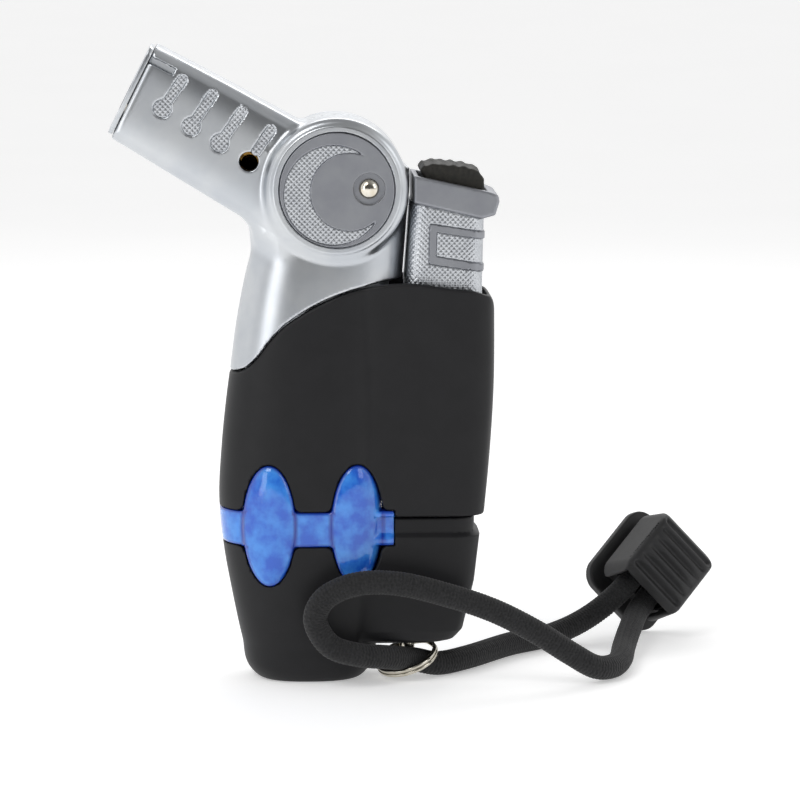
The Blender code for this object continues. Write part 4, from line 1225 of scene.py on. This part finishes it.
@dataclass
class PressButton:
    """Cast push button: a knurled skirt with a raised C-shaped rib, and a plain crown."""

    bottom: float = 55.0
    wall: float = 1.2
    rib_proud: float = 0.35
    crown_half: float = 7.4
    step: float = 0.28
    knurl_pitch: float = 0.86
    knurl_height: float = 0.15
    crown: tuple[tuple[float, float], ...] = (
        (16.9, 79.0), (16.9, 83.6), (29.6, 80.9), (30.7, 80.2), (30.9, 79.2), (30.2, 77.0),
        (28.0, 76.4),
    )
    rib: tuple[tuple[float, float], ...] = (
        (19.6, 75.6), (30.0, 74.0), (30.0, 72.8), (20.7, 74.3), (20.5, 70.3), (30.0, 68.7),
        (30.0, 67.5), (19.4, 69.1),
    )

    def slope(self, p: Array, drop: float = 0.0) -> Array:
        """Height above the crown's sloping top."""
        return (p[:, 2] - (84.7 - (p[:, 0] - 12.0) * 4.9 / 22.0) + drop) * 0.976

    def cap(self, p: Array) -> Array:
        """Distance to the metal button.

        Args:
            p: Points in millimetres.

        Returns:
            One distance for each point, negative inside.
        """
        x, y, z = p.T
        skirt = soft_max(SKIRT.distance(p), np.maximum(self.bottom - z, z - 79.6), 0.3)
        crown = plate(outline_distance(x, z, self.crown), y, self.crown_half, 0.5)
        rib = np.maximum(SKIRT.distance(p, -self.rib_proud), outline_distance(x, z, self.rib))
        solid = soft_min(np.minimum(skirt, crown), rib, 0.2)
        solid = soft_max(solid, self.slope(p), 0.3)
        hollow = np.maximum(SKIRT.distance(p, self.wall), z - 76.6)
        pocket = np.maximum(np.maximum(np.abs(x - 23.4) - 5.5, np.abs(y) - 5.9),
                            -self.slope(p, 1.1))
        return soft_max(np.maximum(solid, -hollow), -pocket, 0.2)

    def sleeve(self) -> None:
        """Wrap the skirt in bright knurling that stops at the rib and the crown."""
        low, high, step = 56.0, 79.2, 0.12
        around = 420
        heights = np.arange(low, high, step)
        angle = np.linspace(0, 2 * math.pi, around * 6, endpoint=False)
        rings = []
        walk = None
        for z in heights:
            row = [np.interp(z, [r[0] for r in SKIRT.rows], [r[i] for r in SKIRT.rows])
                   for i in (1, 2, 3)]
            middle, reach = (row[0] + row[1]) / 2, (row[1] - row[0]) / 2
            c, s = np.cos(angle), np.sin(angle)
            x = middle + reach * np.copysign(np.abs(c) ** (1 / 3), c)
            y = row[2] * np.copysign(np.abs(s) ** (1 / 3), s)
            ring = np.stack((x, y, np.full_like(x, z)), 1)
            closed = np.vstack((ring, ring[:1]))
            far = np.concatenate([[0.0], np.cumsum(np.linalg.norm(np.diff(closed, axis=0), axis=1))])
            places = np.linspace(0, far[-1], around, endpoint=False)
            even = np.stack([np.interp(places, far, closed[:, i]) for i in range(3)], 1)
            if walk is None:
                walk = places * round(far[-1] / self.knurl_pitch) * self.knurl_pitch / far[-1]
            rings.append(even)
        rings = np.array(rings)
        flat = rings.reshape(-1, 3)
        grow = gradient(SKIRT.distance, flat, 0.05)
        grow /= np.linalg.norm(grow, axis=1)[:, None]
        u = np.tile(walk, len(heights))
        in_crown = outline_distance(flat[:, 0], flat[:, 2], self.crown)
        in_rib = outline_distance(flat[:, 0], flat[:, 2], self.rib)
        room = np.clip(np.minimum(in_crown, in_rib) / 0.25, -1.0, 1.0)
        height = np.where(room > 0, knurl(u, flat[:, 2], self.knurl_pitch) * self.knurl_height
                          * room + 0.02, -0.15)
        points = flat + grow * height[:, None]
        _, faces = lofted(list(rings), caps=False)
        sleeve = new_piece("button_knurl", points, faces, BRIGHT_KNURL, Body.BUTTON)
        thick = sleeve.modifiers.new("thickness", "SOLIDIFY")
        thick.thickness = 0.25 * MM
        thick.offset = -1.0

    def pad(self, p: Array) -> Array:
        """Distance to the rubber pad with its rows of lumps.

        Args:
            p: Points in millimetres.

        Returns:
            One distance for each point, negative inside.
        """
        x, y, z = p.T
        outline = ((18.9, 82.0), (18.15, 84.2), (18.8, 85.0), (20.6, 85.35), (25.6, 84.75),
                   (27.7, 84.1), (28.55, 82.6), (28.7, 80.15))
        body = plate(outline_distance(x, z, outline), y, 5.6, 0.7)
        row = 0.5 + 0.5 * np.cos(2 * math.pi * (x - 19.0 + 0.12 * np.abs(y)) / 1.7)
        lump = 0.5 + 0.5 * np.cos(2 * math.pi * (y + 0.4 * x) / 2.4)
        high = np.clip((z - 83.2 + (x - 18.6) * 0.10) / 1.0, 0.0, 1.0)
        return (body + 0.1 - 0.24 * row * (0.45 + 0.55 * lump) * high) * 0.85

    def build(self) -> None:
        """Make the button, its knurling and its pad."""
        cap = solid_piece("press_button", self.cap, (15, -8, 54.5), (31.5, 8, 84.5),
                          self.step, BLASTED_ZINC_PAINTED_SHADE, Body.BUTTON)
        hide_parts("button_cap")
        self.sleeve()
        pad = solid_piece("rubber_pad", self.pad, (17.5, -6.2, 79.5), (29.5, 6.2, 86.3),
                          0.16, PAD_RUBBER, Body.BUTTON)
        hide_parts("thumb_pad")

# ---- studio -----------------------------------------------------------------------------
@dataclass
class Studio:
    """White sweep, soft boxes and the camera."""

    target: Point = (15.0, 0.0, 45.8)
    distance: float = 700.0
    azimuth: float = 2.5
    elevation: float = 8.0
    view_width: float = 132.0
    room_light: float = 1.02
    front_light: float = 0.10
    overhead: float = 0.35

    def camera(self) -> None:
        """Make the camera, level with the torch's side and a little above it."""
        az, el = math.radians(self.azimuth), math.radians(self.elevation)
        way = Vector((-math.sin(az) * math.cos(el), -math.cos(az) * math.cos(el), math.sin(el)))
        data = bpy.data.cameras.new("camera")
        data.sensor_width = 36.0
        data.angle = 2 * math.atan(self.view_width / 2 / self.distance)
        data.clip_start = 0.01
        data.clip_end = 20.0
        obj = bpy.data.objects.new("camera", data)
        obj.location = (Vector(self.target) + way * self.distance) * MM
        obj.rotation_euler = (-way).to_track_quat("-Z", "Y").to_euler()
        bpy.context.scene.collection.objects.link(obj)
        bpy.context.scene.camera = obj

    def soft_box(self, name: str, place: Point, size: tuple[float, float], power: float) -> None:
        """Hang one rectangular soft box that faces the torch.

        Args:
            name: Name of the light.
            place: Place in millimetres.
            size: Width and height in millimetres.
            power: Power in watts.
        """
        data = bpy.data.lights.new(name, "AREA")
        data.shape = "RECTANGLE"
        data.size, data.size_y = size[0] * MM, size[1] * MM
        data.energy = power
        obj = bpy.data.objects.new(name, data)
        obj.location = Vector(place) * MM
        aim = Vector((10.0, 0.0, 45.0)) - Vector(place)
        obj.rotation_euler = aim.to_track_quat("-Z", "Y").to_euler()
        bpy.context.scene.collection.objects.link(obj)

    def floor(self) -> None:
        """Lay the white floor under the torch."""
        bm = bmesh.new()
        bmesh.ops.create_grid(bm, x_segments=1, y_segments=1, size=4.0)
        mesh = bpy.data.meshes.new("floor")
        bm.to_mesh(mesh)
        bm.free()
        paper = Finish("white_paper", "#f6f6f6", 0.9, second="#f4f4f4", patch=80.0,
                       grain=2.0, bump=0.001, swing=0.02, glow=0.36)
        mesh.materials.append(paper.material())
        obj = bpy.data.objects.new("floor", mesh)
        bpy.context.scene.collection.objects.link(obj)

    def build(self) -> None:
        """Set the world, lights, floor and camera."""
        world = bpy.data.worlds.new("studio_white")
        world.use_nodes = True
        world.node_tree.nodes["Background"].inputs["Color"].default_value = (1.0, 1.0, 1.0, 1.0)
        world.node_tree.nodes["Background"].inputs["Strength"].default_value = 0.75
        place = add_node(world.node_tree, "ShaderNodeTexCoord")
        apart = add_node(world.node_tree, "ShaderNodeSeparateXYZ", {"Vector": place.outputs["Generated"]})
        toward = add_node(
            world.node_tree, "ShaderNodeMapRange",
            {"Value": apart.outputs["Y"], "From Min": -0.9, "From Max": -0.15,
             "To Min": self.front_light, "To Max": self.room_light},
        )
        above = add_node(
            world.node_tree, "ShaderNodeMapRange",
            {"Value": apart.outputs["Z"], "From Min": 0.5, "From Max": 0.95,
             "To Min": 1.0, "To Max": self.overhead},
        )
        both = add_node(
            world.node_tree, "ShaderNodeMath",
            {0: toward.outputs["Result"], 1: above.outputs["Result"]}, operation="MULTIPLY",
        )
        world.node_tree.links.new(
            both.outputs["Value"], world.node_tree.nodes["Background"].inputs["Strength"]
        )
        bpy.context.scene.world = world
        bpy.context.scene.view_settings.view_transform = "Standard"
        self.camera()
        self.floor()
        self.soft_box("key_box", (-260.0, -420.0, 520.0), (300.0, 300.0), 1.1)
        self.soft_box("left_box", (-420.0, -420.0, 120.0), (200.0, 400.0), 0.5)
        self.soft_box("fill_box", (420.0, -330.0, 260.0), (220.0, 320.0), 0.35)
        self.soft_box("back_box", (80.0, 420.0, 420.0), (420.0, 200.0), 0.7)


# ---- lanyard ----------------------------------------------------------------------------
LOCK_CENTRE = np.array((58.5, 36.0, 10.25))


def lock_axes() -> Array:
    """Columns are the cord lock's long, across and out directions.

    Returns:
        A matrix with one direction in each column.
    """
    long = np.array((0.60, 0.50, 0.62))
    long /= np.linalg.norm(long)
    across = np.array((0.68, 0.09, -0.73))
    across -= long * across.dot(long)
    across /= np.linalg.norm(across)
    out = np.cross(across, long)
    return np.stack((long, across, -out if out[1] > 0 else out), 1)


LOCK_AXES = lock_axes()


def lock_point(long: float, across: float, out: float) -> Point:
    """A point of the cord lock in the standing frame."""
    return tuple(LOCK_CENTRE + LOCK_AXES @ np.array((long, across, out)))


@dataclass
class LanyardCord:
    """One length of 4 mm bungee: both ends in the lock, its loop through the ring."""

    radius: float = 2.0
    strand: float = 2.35
    slot: float = 5.6
    yarns: int = 12
    yarn_gap: float = 0.56
    lean: float = 0.8
    relief: float = 0.2
    around: int = 60
    gap: float = 0.12
    middle: tuple[Point, ...] = (
        (48.6, 24.6, 4.4), (42.0, 20.5, 2.2), (34.0, 12.5, 2.14), (26.5, 2.2, 2.12),
        (21.2, -2.6, 2.08), (17.0, -4.8, 3.2), (12.6, -9.4, 4.5), (7.2, -12.9, 5.7),
        (2.9, -13.4, 7.4), (0.6, -13.6, 11.6), (2.4, -13.8, 15.4), (7.6, -13.9, 17.6),
        (14.4, -13.8, 17.5), (22.6, -13.5, 15.4), (29.8, -13.0, 12.8), (36.6, -12.4, 9.2),
        (42.4, -11.6, 5.4), (46.6, -10.2, 2.8), (49.8, -6.8, 2.15), (51.8, -0.6, 2.12),
        (53.2, 8.6, 2.3), (55.0, 17.0, 3.6),
    )

    def route(self) -> Array:
        """Centreline from one end in the lock to the other.

        Returns:
            Points in millimetres.
        """
        first = [lock_point(x, -self.strand, self.slot) for x in (5.0, 0.0, -8.0)]
        last = [lock_point(x, self.strand, self.slot) for x in (-8.0, 0.0, 5.0)]
        return even_route(smooth_route([*first, *self.middle, *last], 10), self.gap)

    def build(self, with_pieces: list[bpy.types.Object]) -> bpy.types.Object:
        """Make the braided cord.

        Args:
            with_pieces: Pieces of the lock that sits on it; not used.

        Returns:
            The cord.
        """
        route = self.route()
        sides, ups = carried_frames(route)
        angle = np.linspace(0.0, 2 * math.pi, self.around, endpoint=False)
        walked = np.arange(len(route)) * np.linalg.norm(np.diff(route, axis=0), axis=1).mean()
        turn, way = np.meshgrid(angle * self.yarns / (2 * math.pi), walked / self.yarn_gap)
        zigzag = np.abs(turn % 1.0 - 0.5)
        strand = np.sqrt(np.abs(np.sin(math.pi * (way + self.lean * zigzag))))
        reach = self.radius - self.relief + self.relief * strand
        rings = (
            route[:, None, :]
            + reach[:, :, None] * np.cos(angle)[None, :, None] * sides[:, None, :]
            + reach[:, :, None] * np.sin(angle)[None, :, None] * ups[:, None, :]
        )
        points, faces = lofted(list(rings))
        points[:, 2] = np.maximum(points[:, 2], 0.02)
        cord = new_piece("bungee_cord", points, faces, CORD_BRAID, Body.TORCH)
        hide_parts("lanyard_cord")
        length = float(np.linalg.norm(np.diff(route, axis=0), axis=1).sum()) * MM
        LOG.info("cord length %.3f m", length)
        return cord


@dataclass
class SplitRing:
    """Sprung ring of flattened wire, nearly two turns, its ends stepping over."""

    centre: Point = (16.0, -3.4, 3.35)
    radius: float = 4.9
    half_radial: float = 0.40
    half_flat: float = 0.30
    pitch: float = 0.66
    turns: float = 1.93
    steps: int = 150

    def build(self) -> bpy.types.Object:
        """Make the ring.

        Returns:
            The ring.
        """
        normal = Vector((-math.sin(math.radians(20.0)), -math.sin(math.radians(19.0)), 1.0))
        turn = np.array(
            Vector((0.0, 0.0, 1.0)).rotation_difference(normal.normalized()).to_matrix()
        )
        rings = []
        for i in range(self.steps + 1):
            t = self.turns * i / self.steps
            ease = min(max((t - 0.86) / 0.28, 0.0), 1.0)
            height = self.pitch * (ease * ease * (3 - 2 * ease) - 0.5)
            angle = 2 * math.pi * (t + 0.12)
            spot = np.array((math.cos(angle), math.sin(angle), 0.0))
            tip = min(1.0, 0.45 + 6.0 * min(t, self.turns - t))
            ring = []
            for k in range(14):
                a = 2 * math.pi * k / 14
                out = math.copysign(abs(math.cos(a)) ** 0.6, math.cos(a)) * self.half_radial * tip
                up = math.copysign(abs(math.sin(a)) ** 0.6, math.sin(a)) * self.half_flat * tip
                ring.append(np.array(self.centre) + turn @ (
                    spot * (self.radius + out) + np.array((0.0, 0.0, height + up))
                ))
            rings.append(np.array(ring))
        points, faces = lofted(rings)
        ring = new_piece("key_ring", points, faces, NICKEL, Body.RING)
        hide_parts("split_ring")
        return ring


@dataclass
class CordLock:
    """Sprung toggle: flanged base plate and a ribbed cap with a mouth for the cord."""

    step: float = 0.3
    travel: float = 2.0
    slot_half: float = 2.4
    slot_wide: float = 5.0
    slot_at: float = 5.6
    rib_pitch: float = 2.0
    rib_depth: float = 0.9
    draft: float = 0.08

    def own(self, p: Array) -> Array:
        """Points in the lock's own axes: long, across, out."""
        return (p - LOCK_CENTRE) @ LOCK_AXES

    def rounded(self, q: Array, half: tuple[float, float], corner: float) -> Array:
        """Distance to a rounded rectangle seen along the out axis.

        Args:
            q: Points in the lock's own axes.
            half: Half the length and half the width.
            corner: Radius of the corners.

        Returns:
            One distance for each point, negative inside.
        """
        u = np.abs(q[:, 0]) - half[0] + corner
        v = np.abs(q[:, 1]) - half[1] + corner
        return (np.minimum(np.maximum(u, v), 0.0)
                + np.hypot(np.maximum(u, 0.0), np.maximum(v, 0.0)) - corner)

    def crown(self, long: Array) -> Array:
        """Height of the cap's back: a dome at the far end, nearly level at the mouth."""
        far = (1.0 - np.clip(long / 8.6, 0.0, 1.0) ** 2.6) ** (1.0 / 2.6)
        return 12.7 * far * (1.0 - 0.003 * np.clip(-1.0 - long, 0.0, 9.0) ** 2)

    def ceiling(self, long: Array) -> Array:
        """Height of the room under the cap's back."""
        return np.minimum(10.9, self.crown(long) - self.rib_depth - 0.5)

    def base(self, p: Array) -> Array:
        """Distance to the base plate with its core.

        Args:
            p: Points in millimetres.

        Returns:
            One distance for each point, negative inside.
        """
        q = self.own(p)
        flange = plate(self.rounded(q, (8.8, 8.0), 3.4), q[:, 2], 1.0, 0.45)
        core = plate(self.rounded(q, (5.4, 5.6), 0.8), q[:, 2] - 4.3, 4.3, 0.2)
        core = np.maximum(core, q[:, 2] - self.ceiling(q[:, 0]) + self.travel + 0.3)
        slot = np.maximum(np.abs(q[:, 1]) - self.slot_wide,
                          np.abs(q[:, 2] - self.slot_at) - self.slot_half)
        return soft_max(soft_min(flange, core, 0.4), -slot, 0.3)

    def cap(self, p: Array) -> Array:
        """Distance to the ribbed cap.

        Args:
            p: Points in millimetres.

        Returns:
            One distance for each point, negative inside.
        """
        q = self.own(p)
        out = q[:, 2]
        low = 1.3 + self.travel
        crown = self.crown(q[:, 0])
        fade = np.clip((5.9 - np.abs(q[:, 1])) / 0.8, 0.0, 1.0)
        fade = fade * np.clip((6.6 - q[:, 0]) / 1.2, 0.0, 1.0)
        ribbed = crown - self.rib_depth * fade * np.sin(math.pi * q[:, 0] / self.rib_pitch) ** 2
        draft = self.draft * np.clip(out - low, 0.0, 9.6)
        drawn = q.copy()
        drawn[:, 1] = np.sign(q[:, 1]) * (np.abs(q[:, 1]) + draft)
        body = soft_max(
            soft_max(self.rounded(drawn, (7.7, 7.0), 2.6), low - out, 0.6),
            soft_max((out - ribbed) * 0.7, (out - 12.9 + 0.035 * q[:, 1] ** 2) * 0.95, 0.3), 0.8,
        )
        room = np.maximum(self.rounded(q, (5.8, 6.0), 0.8), out - self.ceiling(q[:, 0]))
        mouth = np.maximum(
            np.maximum(q[:, 0] - 1.0, np.abs(q[:, 1]) - self.slot_wide),
            out - self.slot_at - self.slot_half - self.travel,
        )
        return soft_max(soft_max(body, -room, 0.3), -mouth, 0.8)

    def build(self) -> list[bpy.types.Object]:
        """Make both halves and dress the spring.

        Returns:
            The pieces that sit on the cord.
        """
        base = solid_piece("lock_base", self.base, (47, 24, -1), (71.5, 42, 22), self.step,
                           LOCK_ACETAL, Body.TORCH)
        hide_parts("cord_lock_base")
        cap = solid_piece("lock_cap", self.cap, (49, 20, 0.5), (73, 39, 24), self.step,
                          LOCK_ACETAL, Body.LOCK_CAP)
        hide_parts("cord_lock_cap")
        spring = dress("cord_lock_spring", SPRING_WIRE)
        return [base, cap, spring]


def dress(node: str, finish: Finish, smooth: float = 35.0) -> bpy.types.Object:
    """Give a carried-over CAD node its finish and smooth shading.

    Args:
        node: Name of the CAD node.
        finish: Its finish.
        smooth: Edges sharper than this many degrees stay crisp.

    Returns:
        The node's object.
    """
    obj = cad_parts[node]
    weld = obj.modifiers.new("weld", "WELD")
    weld.merge_threshold = 0.000002
    bevel = obj.modifiers.new("edge", "BEVEL")
    bevel.width = 0.00008
    bevel.segments = 2
    bevel.limit_method = "ANGLE"
    bevel.angle_limit = math.radians(smooth)
    bevel.harden_normals = True
    obj.data.materials.clear()
    obj.data.materials.append(finish.material())
    for face in obj.data.polygons:
        face.material_index = 0
    obj.data.shade_smooth()
    LOG.info("%s: %s", node, finish.name)
    return obj


@dataclass
class Insides:
    """CAD nodes that keep their shape: valves, burner, piezo, hoses and pins."""

    nodes: tuple[tuple[str, Finish], ...] = (
        ("tank_lid", GREY_ACETAL), ("outlet_valve_body", BRASS), ("outlet_valve_stem", BRASS),
        ("outlet_valve_spring", SPRING_WIRE), ("gas_lever", STEEL), ("lever_pivot_pin", STEEL),
        ("fill_valve_body", BRASS), ("fill_valve_stem", BRASS),
        ("fill_valve_spring", SPRING_WIRE), ("flame_adjuster", BRASS), ("burner_tube", BRASS),
        ("flame_cup", STEEL), ("flame_plate", BRASS), ("gas_jet", BRASS),
        ("electrode_insulator", CERAMIC), ("spark_electrode", NICKEL),
        ("nozzle_end_plate", CAST_ZINC), ("gas_hose", HOSE), ("ignition_lead", RED_LEAD),
        ("piezo_housing", GREY_ACETAL), ("piezo_plunger", STEEL),
        ("piezo_return_spring", SPRING_WIRE), ("lanyard_post", NICKEL),
    )

    def build(self) -> None:
        """Dress each node."""
        for node, finish in self.nodes:
            dress(node, finish)


def main() -> None:
    """Build the studio and every sub-assembly in order."""
    logging.basicConfig(level=logging.INFO, format="%(name)s: %(message)s")
    Studio().build()
    lock = CordLock().build()
    LanyardCord().build(lock)
    SplitRing().build()
    windows = Windows()
    BodyShells(windows=windows).build()
    FuelTank(windows).build()
    Head().build()
    PressButton().build()
    Insides().build()


if __name__ == "__main__":
    main()
